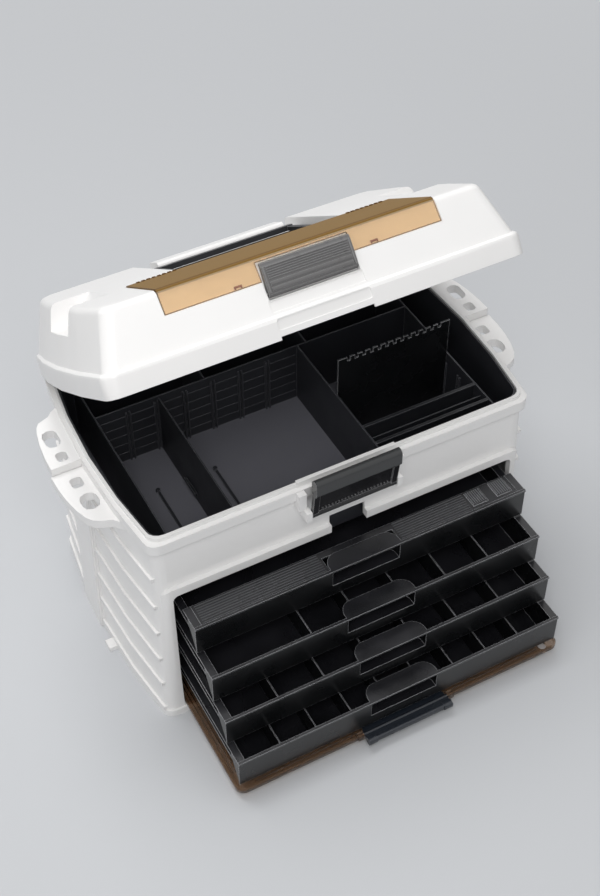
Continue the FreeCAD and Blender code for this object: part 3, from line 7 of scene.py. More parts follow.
# %% Load the frame
import bpy
import numpy as np
from mathutils import Matrix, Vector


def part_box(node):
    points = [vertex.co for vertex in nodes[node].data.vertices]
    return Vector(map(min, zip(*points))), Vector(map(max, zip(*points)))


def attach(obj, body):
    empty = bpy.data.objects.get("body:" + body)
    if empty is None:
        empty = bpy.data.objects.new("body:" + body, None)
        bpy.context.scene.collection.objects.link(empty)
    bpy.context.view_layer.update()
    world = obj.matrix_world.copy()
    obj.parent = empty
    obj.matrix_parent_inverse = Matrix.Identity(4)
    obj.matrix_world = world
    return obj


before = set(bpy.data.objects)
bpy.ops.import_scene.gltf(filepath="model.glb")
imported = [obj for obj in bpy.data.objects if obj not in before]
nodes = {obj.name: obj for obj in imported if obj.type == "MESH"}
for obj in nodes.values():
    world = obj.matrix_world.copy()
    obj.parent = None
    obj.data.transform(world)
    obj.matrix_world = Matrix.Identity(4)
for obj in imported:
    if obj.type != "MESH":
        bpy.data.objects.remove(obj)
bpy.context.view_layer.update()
print("pieces from the model:", len(nodes))

# %% [markdown]
# ## Millimetres and directions
# Blender works in metres, but a maker gives sizes in millimetres, and so does this
# notebook. The added trim could be placed by typed coordinates alone. Where the box of
# the piece that carries it says enough, the trim is placed from that box instead, so
# that it follows when the model changes.

# %% Units, directions and places
MM = 1000.0
ACROSS, BACK, UP = np.eye(3)


def box_mm(node):
    """Lowest and highest corner of a piece of the model at rest, in millimetres."""
    return MM * np.array(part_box(node))


def spots(x, y, z):
    """Points from three coordinates, each of them one number or an array of numbers."""
    return np.stack(np.broadcast_arrays(np.asarray(x, float), y, z), axis=-1)


print("clear door in millimetres:", box_mm("door_panel").round(1).tolist())

# %% [markdown]
# ## The lid's own frame
# The lid stands half open, so places on it are easier to give as they are when it is
# shut: x across, d forwards from the hinge line, n up from it. A parented empty could
# hold that frame, but then each piece would be turned. One function that turns points by
# the lid's angle and moves them to the hinge keeps all objects at the origin.

# %% From the lid's frame to the scene
HINGE = box_mm("hinge_pins").mean(axis=0)
LID_OPEN = np.radians(34.26)
FORWARD = -np.cos(LID_OPEN) * BACK + np.sin(LID_OPEN) * UP
UPWARD = np.sin(LID_OPEN) * BACK + np.cos(LID_OPEN) * UP
LID_AXES = np.stack([ACROSS, FORWARD, UPWARD])


def on_lid(x, d, n):
    """Millimetres in the scene: hinge + x across + d along the lid + n square to it."""
    return HINGE + spots(x, d, n) @ LID_AXES


print("hinge line in millimetres:", HINGE.round(2).tolist())

# %% [markdown]
# ## Three small helpers for materials
# Colours are given as sRGB hex values, but Blender's shaders work with linear
# light, so one function converts them. A second one starts a material with an empty
# tree. The third adds a node, fills in its settings and links its inputs, which keeps
# each recipe below as short as the list of what the finish is made of.

# %% Helpers for materials


def tone(code):
    """Linear RGBA from an sRGB hex code.

    Values up to 0.04045 are divided by 12.92. The rest follow a power of 2.4.
    """
    srgb = np.array([int(code[i:i + 2], 16) for i in (1, 3, 5)]) / 255.0
    linear = np.where(srgb <= 0.04045, srgb / 12.92, ((srgb + 0.055) / 1.055) ** 2.4)
    return (*(float(v) for v in linear), 1.0)


def blank(name):
    """A new material and its empty node tree."""
    made = bpy.data.materials.new(name)
    made.use_nodes = True
    made.node_tree.nodes.clear()
    return made, made.node_tree


def add(tree, kind, inputs=None, **settings):
    """Add a node, set its properties and fill its inputs.

    An input takes a value, an output of another node, or another node, which stands for
    the first output that is in use there.
    """
    node = tree.nodes.new(kind)
    for key, value in settings.items():
        setattr(node, key, value)
    for key, value in (inputs or {}).items():
        if isinstance(value, bpy.types.Node):
            value = next(socket for socket in value.outputs if socket.enabled)
        if isinstance(value, bpy.types.NodeSocket):
            tree.links.new(value, node.inputs[key])
        else:
            node.inputs[key].default_value = value
    return node


print("white of the shells in linear light:", [round(v, 3) for v in tone("#F1F0EF")])

# %% [markdown]
# ## Moulded plastic
# Nearly every piece is injection moulded. The eye reads that from four things: a very
# faint drift of tone where the melt cooled unevenly, a spark-eroded grain that breaks up
# the highlights, edges that are never quite sharp, and, on the black and grey plastics,
# pale edges where the light catches them, painted here as a highlight. The edges could
# be cut with a Bevel modifier, but the model's triangles give it no clean loops. The Bevel
# node rounds only their shading, by the real radius, and where its normal turns away from
# the flat one there is an edge, which the painted edge highlight follows.
# A noise has the scale of 1000 divided by its real size in millimetres. The real grain is
# a few hundredths of a millimetre and wouldn't show, so it is drawn at 0.5 to 2 mm.

# %% Recipe for moulded plastic
DRIFT_MM = 60.0
DRIFT_LOW, DRIFT_HIGH = 0.3, 0.7
GRAIN_DEEP = 0.2
EDGE_STARTS, EDGE_FULL = 0.995, 0.86
LEVEL_STARTS, LEVEL_FULL = 0.85, 0.99
SHEEN_FULL = 0.65


def edge_mask(tree, edge):
    """0 on flat ground, and up to 1 at an edge, from the cosine between two normals.

    The cosine of the bevelled and the true normal falls from 1 as they turn apart.
    """
    flat = add(tree, "ShaderNodeNewGeometry").outputs["True Normal"]
    turn = add(tree, "ShaderNodeVectorMath", {0: edge, 1: flat}, operation="DOT_PRODUCT")
    return add(tree, "ShaderNodeMapRange", {"Value": turn, "From Min": EDGE_STARTS,
                                            "From Max": EDGE_FULL})


def height_mask(tree, place, low, high):
    """0 at the height low, 1 at the height high, in millimetres, and straight in between."""
    height = add(tree, "ShaderNodeSeparateXYZ", {"Vector": place}).outputs["Z"]
    return add(tree, "ShaderNodeMapRange", {"Value": height, "From Min": low / MM,
                                            "From Max": high / MM})


def level_sheen_mask(tree, drift):
    """Up to 1 on level faces that look up, more where the slow noise is high, as a painted sheen of the
    light from above.
    """
    flat = add(tree, "ShaderNodeNewGeometry").outputs["True Normal"]
    rise = add(tree, "ShaderNodeSeparateXYZ", {"Vector": flat}).outputs["Z"]
    level = add(tree, "ShaderNodeMapRange", {"Value": rise, "From Min": LEVEL_STARTS,
                                             "From Max": LEVEL_FULL})
    sheen_share = add(tree, "ShaderNodeMath", {0: level, 1: drift}, operation="MULTIPLY")
    return add(tree, "ShaderNodeMapRange", {"Value": sheen_share, "From Max": SHEEN_FULL})


def moulded(name, base, shade, roughness, grain_mm, grain, edge_mm, rub=None, zone=None,
            level_sheen=None, **shader):
    """Plastic in two close tones mixed by slow noise, with grain as bump and soft edges.

    roughness goes from its first to its second value with the slow noise. The edge tone is
    a painted highlight along the edges. zone is (low, high, tone): the colour goes over into
    that tone between the two heights in millimetres, and both uses paint a paler band of
    reflected light. The tone for the faces that look up is a painted sheen of the light from above.
    """
    made, tree = blank(name)
    place = add(tree, "ShaderNodeTexCoord").outputs["Object"]
    drift = add(tree, "ShaderNodeTexNoise", {"Vector": place, "Scale": MM / DRIFT_MM, "Detail": 3.0})
    speck = add(tree, "ShaderNodeTexNoise", {"Vector": place, "Scale": MM / grain_mm, "Detail": 2.0})
    rough = add(tree, "ShaderNodeMapRange", {
        "Value": drift, "From Min": DRIFT_LOW, "From Max": DRIFT_HIGH,
        "To Min": roughness[0], "To Max": roughness[1]})
    edge = add(tree, "ShaderNodeBevel", {"Radius": edge_mm / MM}, samples=4)
    layers = [(drift, shade)]
    if zone:
        layers.append((height_mask(tree, place, *zone[:2]), zone[2]))
    if level_sheen:
        layers.append((level_sheen_mask(tree, drift), level_sheen))
    if rub:
        layers.append((edge_mask(tree, edge), rub))
    colour = tone(base)
    for share, code in layers:
        colour = add(tree, "ShaderNodeMix", {"Factor": share, "A": colour, "B": tone(code)},
                     data_type="RGBA")
    bump = add(tree, "ShaderNodeBump", {"Height": speck, "Strength": grain,
                                        "Distance": GRAIN_DEEP / MM, "Normal": edge})
    surface = add(tree, "ShaderNodeBsdfPrincipled", {
        "Base Color": colour, "Roughness": rough, "Normal": bump, **shader})
    add(tree, "ShaderNodeOutputMaterial", {"Surface": surface})
    return made


# %% [markdown]
# ## White and black pieces
# The shells are white ABS, the tub and the inner pieces black polypropylene, and the
# drawers black polystyrene. All black pieces could share one material, but polypropylene
# is soft and dull while polystyrene is hard and glossy, and the box shows both.

# %% White and black plastics
IOR = {"abs": 1.53, "polypropylene": 1.49, "polystyrene": 1.59, "nylon": 1.53, "polycarbonate": 1.58}

# White ABS, satin from a lightly etched mould: bright, with broad soft highlights.
white_abs = moulded("white_abs_moulded", "#F1F0EF", "#ECEBEA", roughness=(0.30, 0.40), grain_mm=0.5,
                    grain=0.08, edge_mm=0.8, IOR=IOR["abs"])

# Black polypropylene from an etched mould: matte, with a breath of blue.
# The edge tone in these settings is a painted highlight along the edges.
DULL_BLACK = {"roughness": (0.38, 0.50), "grain_mm": 0.8, "grain": 0.25, "edge_mm": 0.8,
              "rub": "#808186", "IOR": IOR["polypropylene"]}
# The floor of the tub goes over into grey just above the floor's top: a painted reflection
# of the white lid that hangs over it, and of the light from above.
TUB_FLOOR_THICK = 2.2
tub_floor = box_mm("upper_tub")[0, 2] + TUB_FLOOR_THICK
liner_pp = moulded("black_polypropylene_liner", "#232428", "#2A2B30",
                   zone=(tub_floor + 1.8, tub_floor + 0.4, "#6B6B72"), **DULL_BLACK)
inner_pp = moulded("black_polypropylene_inner", "#18191C", "#1E1F23", **DULL_BLACK)

# Black polystyrene of the drawers: harder and glossier, so its thin edges catch the light.
GLOSSY_BLACK = {"roughness": (0.22, 0.34), "grain_mm": 1.2, "grain": 0.12, "edge_mm": 0.9,
                "IOR": IOR["polystyrene"]}
# Its edges get a painted highlight, and its faces that look up a painted sheen of the light from above.
drawer_ps = moulded("black_polystyrene_drawer", "#0B0C0D", "#101113", rub="#CDCED2", level_sheen="#202024",
                    **GLOSSY_BLACK)
# The ribs of its insert are painted paler than the drawer, a painted highlight for the light
# their tops catch, and the two small hatched squares paler than the long ribs.
insert_ps = moulded("black_polystyrene_ribs_painted_highlight", "#4E4F52", "#3C3D40", **GLOSSY_BLACK)
hatch_ps = moulded("black_polystyrene_hatch_painted_highlight", "#707174", "#5C5D60", **GLOSSY_BLACK)
print("white and black:", [m.name for m in (white_abs, liner_pp, inner_pp, drawer_ps, insert_ps,
                                            hatch_ps)])

# %% [markdown]
# ## Latches
# The three latches are moulded in plastics of their own. The front latch is smoked ABS,
# which could be made clear, but it is so dark that only its thick top bar looks paler, where
# it reflects the white lid above it. A paler tone over that height, a painted reflection,
# gives the same look with less noise.

# %% Plastics of the latches
# Smoked ABS, polished: sharp highlights over a nearly black plate.
# Between these heights the bar is painted a paler tone, a painted reflection.
BAR_FROM, BAR_TO = 326.0, 332.0
latch_abs = moulded("smoked_abs_polished", "#1D1D1F", "#252527", roughness=(0.08, 0.14), grain_mm=1.5,
                    grain=0.04, edge_mm=1.2, rub="#A2A2A4", zone=(BAR_FROM, BAR_TO, "#3A3B3C"),
                    IOR=IOR["abs"], **{"Specular IOR Level": 0.32})
# Grey nylon of the window latch, satin: its ribs show by the painted highlights along their edges.
catch_nylon = moulded("grey_nylon_moulded", "#5B5A5A", "#636262", roughness=(0.24, 0.34), grain_mm=0.6,
                      grain=0.12, edge_mm=0.7, rub="#A9AAAC", IOR=IOR["nylon"])
# Blue-black ABS of the door latch, half glossy, with a painted highlight along its edges.
door_catch_abs = moulded("blue_black_abs_moulded", "#1F242C", "#1A1F26", roughness=(0.22, 0.32),
                         grain_mm=0.8, grain=0.10, edge_mm=0.5, rub="#5B6069", IOR=IOR["abs"])
print("latches:", [m.name for m in (latch_abs, catch_nylon, door_catch_abs)])

# %% [markdown]
# ## Clear plastic
# The window and the door are transparent polycarbonate, tinted amber and smoky brown. A
# tint can be given to the volume or to the surface. The surface is used here, because it
# renders quickly and the plates are thin. Light passes the tint once going in and once
# coming back, so the colour written here is paler than the colour seen over a white
# backing. A little of the light is scattered inside the plate, which keeps the tint
# visible over dark pieces as well.

# %% Recipe for clear plastic
WAVE_STRENGTH, WAVE_DEEP = 0.08, 0.6


def clear(name, tint, deep, passing, roughness, streak_mm, edge_mm=0.8, gloss=0.5, deck=None):
    """Transparent plastic with slow waves in its thickness and edges of a deeper colour.

    passing is the share of light that goes through, and the waves are streak_mm long.
    deck is for a plate that lies in another direction: from its low to its high
    distance along a direction, in millimetres, the piece goes over into the deck's tint,
    passing and roughness, a darker copy that paints shade onto that plate. The distance is
    the dot product of place and direction.
    """
    made, tree = blank(name)
    place = add(tree, "ShaderNodeTexCoord").outputs["Object"]
    wave = add(tree, "ShaderNodeTexNoise", {"Vector": place, "Scale": MM / streak_mm, "Detail": 2.0})
    rough = add(tree, "ShaderNodeMapRange", {"Value": wave, "To Min": roughness[0],
                                             "To Max": roughness[1]})
    edge = add(tree, "ShaderNodeBevel", {"Radius": edge_mm / MM}, samples=4)
    bump = add(tree, "ShaderNodeBump", {"Height": wave, "Strength": WAVE_STRENGTH,
                                        "Distance": WAVE_DEEP / MM})
    colour, through = tone(tint), passing
    if deck:
        far = add(tree, "ShaderNodeVectorMath", {0: place, 1: deck["direction"]},
                  operation="DOT_PRODUCT")
        share = add(tree, "ShaderNodeMapRange", {"Value": far, "From Min": deck["low"] / MM,
                                                 "From Max": deck["high"] / MM})
        colour = add(tree, "ShaderNodeMix", {"Factor": share, "A": colour, "B": tone(deck["tint"])},
                     data_type="RGBA")
        through = add(tree, "ShaderNodeMapRange", {"Value": share, "To Min": passing,
                                                   "To Max": deck["passing"]})
        rough = add(tree, "ShaderNodeMapRange", {"Value": share, "To Min": rough,
                                                 "To Max": deck["roughness"]})
    colour = add(tree, "ShaderNodeMix", {"Factor": edge_mask(tree, edge), "A": colour,
                                         "B": tone(deep)}, data_type="RGBA")
    surface = add(tree, "ShaderNodeBsdfPrincipled", {
        "Base Color": colour, "Transmission Weight": through, "Roughness": rough,
        "IOR": IOR["polycarbonate"], "Specular IOR Level": gloss, "Normal": bump})
    add(tree, "ShaderNodeOutputMaterial", {"Surface": surface})
    return made


# %% [markdown]
# ## Window, door and pegs
# The window is one moulding with two plates: a front one over the white lid, which looks
# bright amber, and a top one over the black tray, which looks olive brown. The top plate
# gets a darker, less clear copy of the amber, a painted shade for the dark reflections it
# shows at a grazing angle. Two material slots could hold the two, but the model's triangles
# aren't sorted by plate. The tint changes with the height above the hinge instead, measured
# square to the lid. The door and its pegs have one tint each.

# %% Clear plastics
# From these heights on, the top plate's darker, less clear amber is a painted shade.
DECK_FROM, DECK_TO = 88.8, 90.8
amber_deck = {"direction": tuple(UPWARD), "low": HINGE @ UPWARD + DECK_FROM,
              "high": HINGE @ UPWARD + DECK_TO, "tint": "#83611B", "passing": 0.20, "roughness": 0.5}
amber_pc = clear("amber_polycarbonate_moulded", "#FFE9CA", "#4E2C14", passing=0.95,
                 roughness=(0.04, 0.10), streak_mm=18.0, edge_mm=2.0, gloss=0.15, deck=amber_deck)
smoky_pc = clear("smoky_polycarbonate_moulded", "#B79A80", "#5A4029", passing=0.92,
                 roughness=(0.05, 0.12), streak_mm=14.0, edge_mm=1.4)
peg_pc = clear("clear_polycarbonate_moulded", "#F2F0EC", "#D8D4CC", passing=0.92,
               roughness=(0.04, 0.08), streak_mm=10.0)
print("clear plastics:", amber_pc.name, smoky_pc.name, peg_pc.name)

# %% [markdown]
# ## Drawn steel
# The hinge and latch pins are short lengths of drawn wire. Drawing leaves fine lines
# along the wire. An anisotropic shader could stand for them, but the pins are seen so
# small that a noise is enough, stretched along X, the direction in which all pins lie.
# Its lines are a quarter of a millimetre apart.

# %% Steel


def drawn_steel(name, line_mm, stretch, roughness):
    """Steel whose roughness and bump follow lines along X, stretched by a factor."""
    made, tree = blank(name)
    place = add(tree, "ShaderNodeTexCoord").outputs["Object"]
    along = add(tree, "ShaderNodeMapping", {"Vector": place, "Scale": (1.0 / stretch, 1.0, 1.0)})
    lines = add(tree, "ShaderNodeTexNoise", {"Vector": along, "Scale": MM / line_mm, "Detail": 2.0})
    rough = add(tree, "ShaderNodeMapRange", {"Value": lines, "To Min": roughness[0],
                                             "To Max": roughness[1]})
    bump = add(tree, "ShaderNodeBump", {"Height": lines, "Strength": 0.1, "Distance": 0.1 / MM})
    surface = add(tree, "ShaderNodeBsdfPrincipled", {
        "Base Color": tone("#B9B7B3"), "Metallic": 1.0, "Roughness": rough, "Normal": bump})
    add(tree, "ShaderNodeOutputMaterial", {"Surface": surface})
    return made


pin_steel = drawn_steel("steel_wire_drawn", line_mm=0.25, stretch=50.0, roughness=(0.22, 0.42))
print("metal:", pin_steel.name)

# %% [markdown]
# ## Dress the model's pieces
# Each piece gets its finish. The meshes are loose triangles, so a Weld modifier joins
# them and an Edge Split modifier keeps corners over 32 degrees crisp, while the bowed
# sides and round bars shade smoothly. A Weighted Normal modifier lets the large faces
# set the shading, so a flat plate stays flat right up to its edges. Custom normals
# written into the mesh would do the same, but modifiers leave the mesh as it was packed.

# %% Finishes on the pieces
CREASE_DEGREES = 32
WELD_MM = 0.01
FINISH = {
    "case_shell": white_abs, "lid_shell": white_abs, "handle_grip": white_abs,
    "upper_tub": liner_pp, "tub_divider": inner_pp, "rack_channel": inner_pp,
    "runner_left": inner_pp, "runner_right": inner_pp, "window_tray": inner_pp,
    "handle_pan": inner_pp, "handle_frame": inner_pp, "rack_plate": drawer_ps,
    "drawer_1": drawer_ps, "drawer_2": drawer_ps, "drawer_3": drawer_ps, "drawer_4": drawer_ps,
    "drawer_1_pad": drawer_ps, "drawer_2_dividers": drawer_ps, "drawer_3_dividers": drawer_ps,
    "drawer_4_dividers": drawer_ps, "main_latch": latch_abs, "window_latch": catch_nylon,
    "door_latch": door_catch_abs, "window": amber_pc, "door_panel": smoky_pc,
    "door_pegs": peg_pc, "hinge_pins": pin_steel, "main_latch_pin": pin_steel,
    "window_pins": pin_steel, "window_latch_pin": pin_steel, "handle_pins": pin_steel,
    "door_latch_pin": pin_steel}


def dress(piece, finish):
    """Give a piece its material, and smooth shading between its creases."""
    piece.data.materials.clear()
    piece.data.materials.append(finish)
    piece.data.polygons.foreach_set("use_smooth", np.ones(len(piece.data.polygons), bool))
    weld = piece.modifiers.new("join_triangles", "WELD")
    weld.merge_threshold = WELD_MM / MM
    crease = piece.modifiers.new("crisp_corners", "EDGE_SPLIT")
    crease.split_angle = np.radians(CREASE_DEGREES)
    even = piece.modifiers.new("flat_faces_flat", "WEIGHTED_NORMAL")
    even.keep_sharp = True


for name, piece in nodes.items():
    dress(piece, FINISH[name])
print("dressed:", len(FINISH))

# %% [markdown]
# ## A row of ribs
# Grips and pads carry ribs too fine for the model. One rib is a low half-round bar: a
# half ellipse carried along a straight line, closed underneath and at both ends. An
# Array modifier could repeat one bar. Here the points of a whole row are worked out at
# once as one array, which is as short and leaves a plain mesh in its final place.

# %% Helper for ribs
RIB_STEPS = 8
RIB_SUNK = 0.3


def ribs(name, starts, ends, across, out, half, height, finish, body, slot):
    """A row of closed half-round bars, in millimetres.

    Each point is start + u (end - start) + half cos(a) across + height sin(a) out, with u 0
    or 1 and a from 0 to 180 degrees. Two more points sink the foot into what carries it.
    """
    starts, ends = np.atleast_2d(starts), np.atleast_2d(ends)
    angle = np.linspace(0.0, np.pi, RIB_STEPS)[:, None]
    arch = half * np.cos(angle) * across + height * np.sin(angle) * out
    ring = np.vstack([arch, arch[-1] - RIB_SUNK * out, arch[0] - RIB_SUNK * out])
    points = np.stack([starts[:, None] + ring, ends[:, None] + ring], axis=1).reshape(-1, 3) / MM
    size = len(ring)
    here = np.arange(size)
    after = np.roll(here, -1)
    first = 2 * size * np.arange(len(starts))[:, None, None]
    sides = first + np.stack([here, after, size + after, size + here], axis=1)
    caps = first + np.stack([here[::-1], size + here])
    faces = sides.reshape(-1, 4).tolist() + caps.reshape(-1, size).tolist()
    mesh = bpy.data.meshes.new(name)
    mesh.from_pydata(points.tolist(), [], faces)
    # The first side face says which way round the bars came out.
    corner = points[faces[0]]
    facing = np.cross(corner[1] - corner[0], corner[2] - corner[1])
    if np.dot(facing, corner.mean(axis=0) - points[:2 * size].mean(axis=0)) < 0:
        mesh.flip_normals()
    piece = bpy.data.objects.new(name, mesh)
    bpy.context.scene.collection.objects.link(piece)
    piece.data.materials.append(finish)
    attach(piece, body)
    print(name, len(starts), "ribs,", len(faces), "faces")
    return piece


def plate_directions(foot, head):
    """Unit vectors up a plate at the lid's front and out of it.

    Up is head minus foot at length 1. Out is the cross product of across and up, turned
    to the side that the front of the lid looks to.
    """
    up = (head - foot) / np.linalg.norm(head - foot)
    out = np.cross(ACROSS, up)
    return up, out * np.sign(out @ FORWARD)


# %% [markdown]
# ## Grip ribs of the window latch
# Fingers pull the latch down by six fine ribs near its top. Two broad ones below them
# stiffen the plate, and a raised border closes the ribs at each end. A bump texture
# could draw them, but they are a millimetre proud and throw shadows of their own.

# %% Window latch ribs
latch_foot, latch_head = on_lid(0.0, 333.5, 59.0), on_lid(0.0, 330.3, 80.5)
latch_up, latch_out = plate_directions(latch_foot, latch_head)
latch_reach = 51.8 * ACROSS
grey = {"out": latch_out, "finish": catch_nylon, "body": "window_latch", "slot": "grey_plastic"}

fine = latch_foot + np.linspace(7.5, 21.0, 6)[:, None] * latch_up
ribs("window_latch_fine_ribs", fine - latch_reach, fine + latch_reach, across=latch_up, half=0.85,
     height=1.0, **grey)
broad = latch_foot + np.array([-5.0, 1.6])[:, None] * latch_up
ribs("window_latch_broad_ribs", broad - latch_reach, broad + latch_reach, across=latch_up, half=2.4,
     height=0.9, **grey)
border = latch_foot + np.array([-54.6, 54.6])[:, None] * ACROSS
ribs("window_latch_borders", border - 8.0 * latch_up, border + 21.8 * latch_up, across=ACROSS,
     half=1.3, height=1.1, **grey)

# %% [markdown]
# ## Snap hooks at the foot of the window
# The window snaps over the lid's front with two small hooks. Each shows at the foot of
# the amber plate as a short bar with two legs. They could be a darker patch of the
# window's colour, but as pieces of their own they stand proud of it like the real ones.

# %% Window hooks
HOOK_MIDDLE = 87.0
HOOK_BAR_HALF, HOOK_BAR_UP, HOOK_LEG_LONG = 4.8, 2.9, 2.6
hook_pc = moulded("brown_polycarbonate_hook", "#7E5240", "#8C5E4A", roughness=(0.15, 0.25), grain_mm=2.0,
                  grain=0.1, edge_mm=0.5, IOR=IOR["polycarbonate"])
plate_foot, plate_head = on_lid(0.0, 326.4, 65.5), on_lid(0.0, 325.0, 70.8)
plate_up, plate_out = plate_directions(plate_foot, plate_head)
amber = {"out": plate_out, "height": 0.4, "finish": hook_pc, "body": "window", "slot": "amber_clear"}
for tag, middle in {"left": -HOOK_MIDDLE, "right": HOOK_MIDDLE}.items():
    bar = plate_foot + HOOK_BAR_UP * plate_up + middle * ACROSS
    reach = HOOK_BAR_HALF * ACROSS
    ribs("window_hook_bar_" + tag, bar - reach, bar + reach, across=plate_up, half=1.2, **amber)
    legs = bar + np.array([-0.8, 0.8])[:, None] * reach
    ribs("window_hook_legs_" + tag, legs - HOOK_LEG_LONG * plate_up, legs, across=ACROSS, half=1.0,
         **amber)

# %% [markdown]
# ## Lines on the clear door
# Low ribs stiffen the thin door: three along its free edge on either side of the latch,
# and two along each end. On a clear plate it is their sides that show, as dark lines, so
# they have to be real shapes. A bump would leave a clear plate almost as it was.

# %% Door ribs
DOOR_THICK = 3.0
door_low, door_high = box_mm("door_panel")
door_top = door_low[2] + DOOR_THICK
smoked = {"out": UP, "height": 0.9, "finish": smoky_pc, "body": "door", "slot": "smoked_plastic"}

front_rows = door_low[1] + np.array([11.0, 17.0, 23.0])
beside_latch = {"left": (door_low[0] + 25.6, -74.0), "right": (74.0, door_high[0] - 31.6)}
for tag, (left, right) in beside_latch.items():
    ribs("door_front_ribs_" + tag, spots(left, front_rows, door_top),
         spots(right, front_rows, door_top), across=BACK, half=0.8, **smoked)

end_rows = door_high[0] - np.array([6.6, 11.1])
end_from, end_to = door_low[1] + 34.0, door_low[1] + 204.0
for tag, sign in {"left": -1.0, "right": 1.0}.items():
    ribs("door_end_ribs_" + tag, spots(sign * end_rows, end_from, door_top),
         spots(sign * end_rows, end_to, door_top), across=ACROSS, half=0.7, **smoked)

# %% [markdown]
# ## Ribs on the wall behind the bins
# Five low ribs run along the tall wall behind the front bins, one above the other. They
# could be part of the tub's solid. They are less than a millimetre proud, so they are
# made here with the other trim, and take the tub's own material.

# %% Wall ribs of the tub
WALL_FACE = 76.0
WALL_RIB_LEFT, WALL_RIB_RIGHT = -227.0, 57.0
wall_rows = tub_floor + 14.8 + 16.0 * np.arange(5)
ribs("tub_wall_ribs", spots(WALL_RIB_LEFT, WALL_FACE, wall_rows),
     spots(WALL_RIB_RIGHT, WALL_FACE, wall_rows), across=UP, out=-BACK, half=0.9, height=0.7,
     finish=liner_pp, body="case", slot="black_plastic")

# %% [markdown]
# ## Teeth of the front latch
# A close row of small upright teeth runs across the foot of the front latch, just above
# its pin. They stand on the thin plate, which leans outwards towards the bar, so they
# are placed by how far they are up the plate from the middle of the pin.

# %% Front latch teeth
PLATE_LEAN, PLATE_RISE = 7.0, 51.0
TEETH, TEETH_HALF = 21, 45.0
TOOTH_FROM, TOOTH_LONG, TOOTH_FRONT = 5.5, 4.5, 1.9
latch_pin = box_mm("main_latch_pin").mean(axis=0)
lean_up = (PLATE_RISE * UP - PLATE_LEAN * BACK) / np.hypot(PLATE_LEAN, PLATE_RISE)
lean_out = np.cross(ACROSS, lean_up)
tooth_x = np.linspace(-TEETH_HALF, TEETH_HALF, TEETH)
tooth_foot = latch_pin + spots(tooth_x, -TOOTH_FRONT, 0.0) + TOOTH_FROM * lean_up
ribs("front_latch_teeth", tooth_foot, tooth_foot + TOOTH_LONG * lean_up, across=ACROSS, out=lean_out,
     half=1.1, height=1.6, finish=latch_abs, body="main_latch", slot="smoked_plastic")

# %% [markdown]
# ## Ribbed strip in the first drawer
# The insert behind the front of the first drawer has fine ribs along its length, and two
# small squares at its right end whose ribs run the other way. A stripe texture would
# be lighter, but the ribs catch the light on their tops only, which needs real shapes.

# %% Ribs of the insert
RIB_PITCH, SQUARE_PITCH = 3.8, 3.0
pad_low, pad_high = box_mm("drawer_1_pad")
ground = pad_high[2] - 1.2
in_drawer = {"out": UP, "half": 0.8, "body": "drawer_1", "slot": "drawer_plastic"}

depths = np.arange(pad_low[1] + 3.0, pad_high[1] - 1.0, RIB_PITCH)
beside_pull = {"left": (-221.0, -54.0), "right": (54.0, 158.0)}
for tag, (left, right) in beside_pull.items():
    ribs("insert_ribs_" + tag, spots(left, depths, ground), spots(right, depths, ground), across=BACK,
         height=0.9, finish=insert_ps, **in_drawer)

SQUARE_HALF, SQUARE_FRONT, SQUARE_DEEP = 9.0, 7.5, 22.0
square_front = pad_low[1] + SQUARE_FRONT
for number, middle in enumerate((173.0, 209.0), start=1):
    places = np.arange(middle - SQUARE_HALF, middle + SQUARE_HALF + 0.5, SQUARE_PITCH)
    ribs("insert_square_ribs_%d" % number, spots(places, square_front, pad_high[2]),
         spots(places, square_front + SQUARE_DEEP, pad_high[2]), across=ACROSS, height=0.6,
         finish=hatch_ps, **in_drawer)

# %% [markdown]
# ## Floor and surround
# A pale floor and a pale surround keep the colours plain. Both could simply be lit until
# they are pale, but that would light the object too. Light Path tells a ray from the
# camera from the others, so the far floor and the surround have one tone for the camera,
# while the object is lit by a weaker white surround. Reflections and clear plastic see
# that surround at full strength, as they would in a real studio.

# %% Floor and surround
BACKDROP = "#D2D4D7"
FLOOR_HALF = 6.0
FADE_FROM, FADE_TO = 0.7, 2.8
OBJECT_LIGHT, SEEN_LIGHT = 0.42, 1.0


def pale_floor():
    """A square of floor whose far part, for the camera only, fades into the backdrop's tone.

    The share of that tone goes from 0 to 1 between two distances from the origin, in metres.
    """
    corners = FLOOR_HALF * spots([-1, 1, 1, -1], [-1, -1, 1, 1], 0)
    mesh = bpy.data.meshes.new("floor")
    mesh.from_pydata(corners.tolist(), [], [[0, 1, 2, 3]])
    piece = bpy.data.objects.new("floor", mesh)
    bpy.context.scene.collection.objects.link(piece)
    made, tree = blank("floor_paper")
    paper = add(tree, "ShaderNodeBsdfPrincipled", {"Base Color": tone("#C9CBCE"), "Roughness": 0.9,
                                                   "Specular IOR Level": 0.1})
    place = add(tree, "ShaderNodeTexCoord").outputs["Object"]
    reach = add(tree, "ShaderNodeVectorMath", {0: place}, operation="LENGTH")
    far = add(tree, "ShaderNodeMapRange", {"Value": reach, "From Min": FADE_FROM, "From Max": FADE_TO})
    looked_at = add(tree, "ShaderNodeLightPath").outputs["Is Camera Ray"]
    share = add(tree, "ShaderNodeMath", {0: far, 1: looked_at}, operation="MULTIPLY")
    haze = add(tree, "ShaderNodeEmission", {"Color": tone(BACKDROP)})
    mixed = add(tree, "ShaderNodeMixShader", {0: share, 1: paper, 2: haze})
    add(tree, "ShaderNodeOutputMaterial", {"Surface": mixed})
    piece.data.materials.append(made)
    return piece


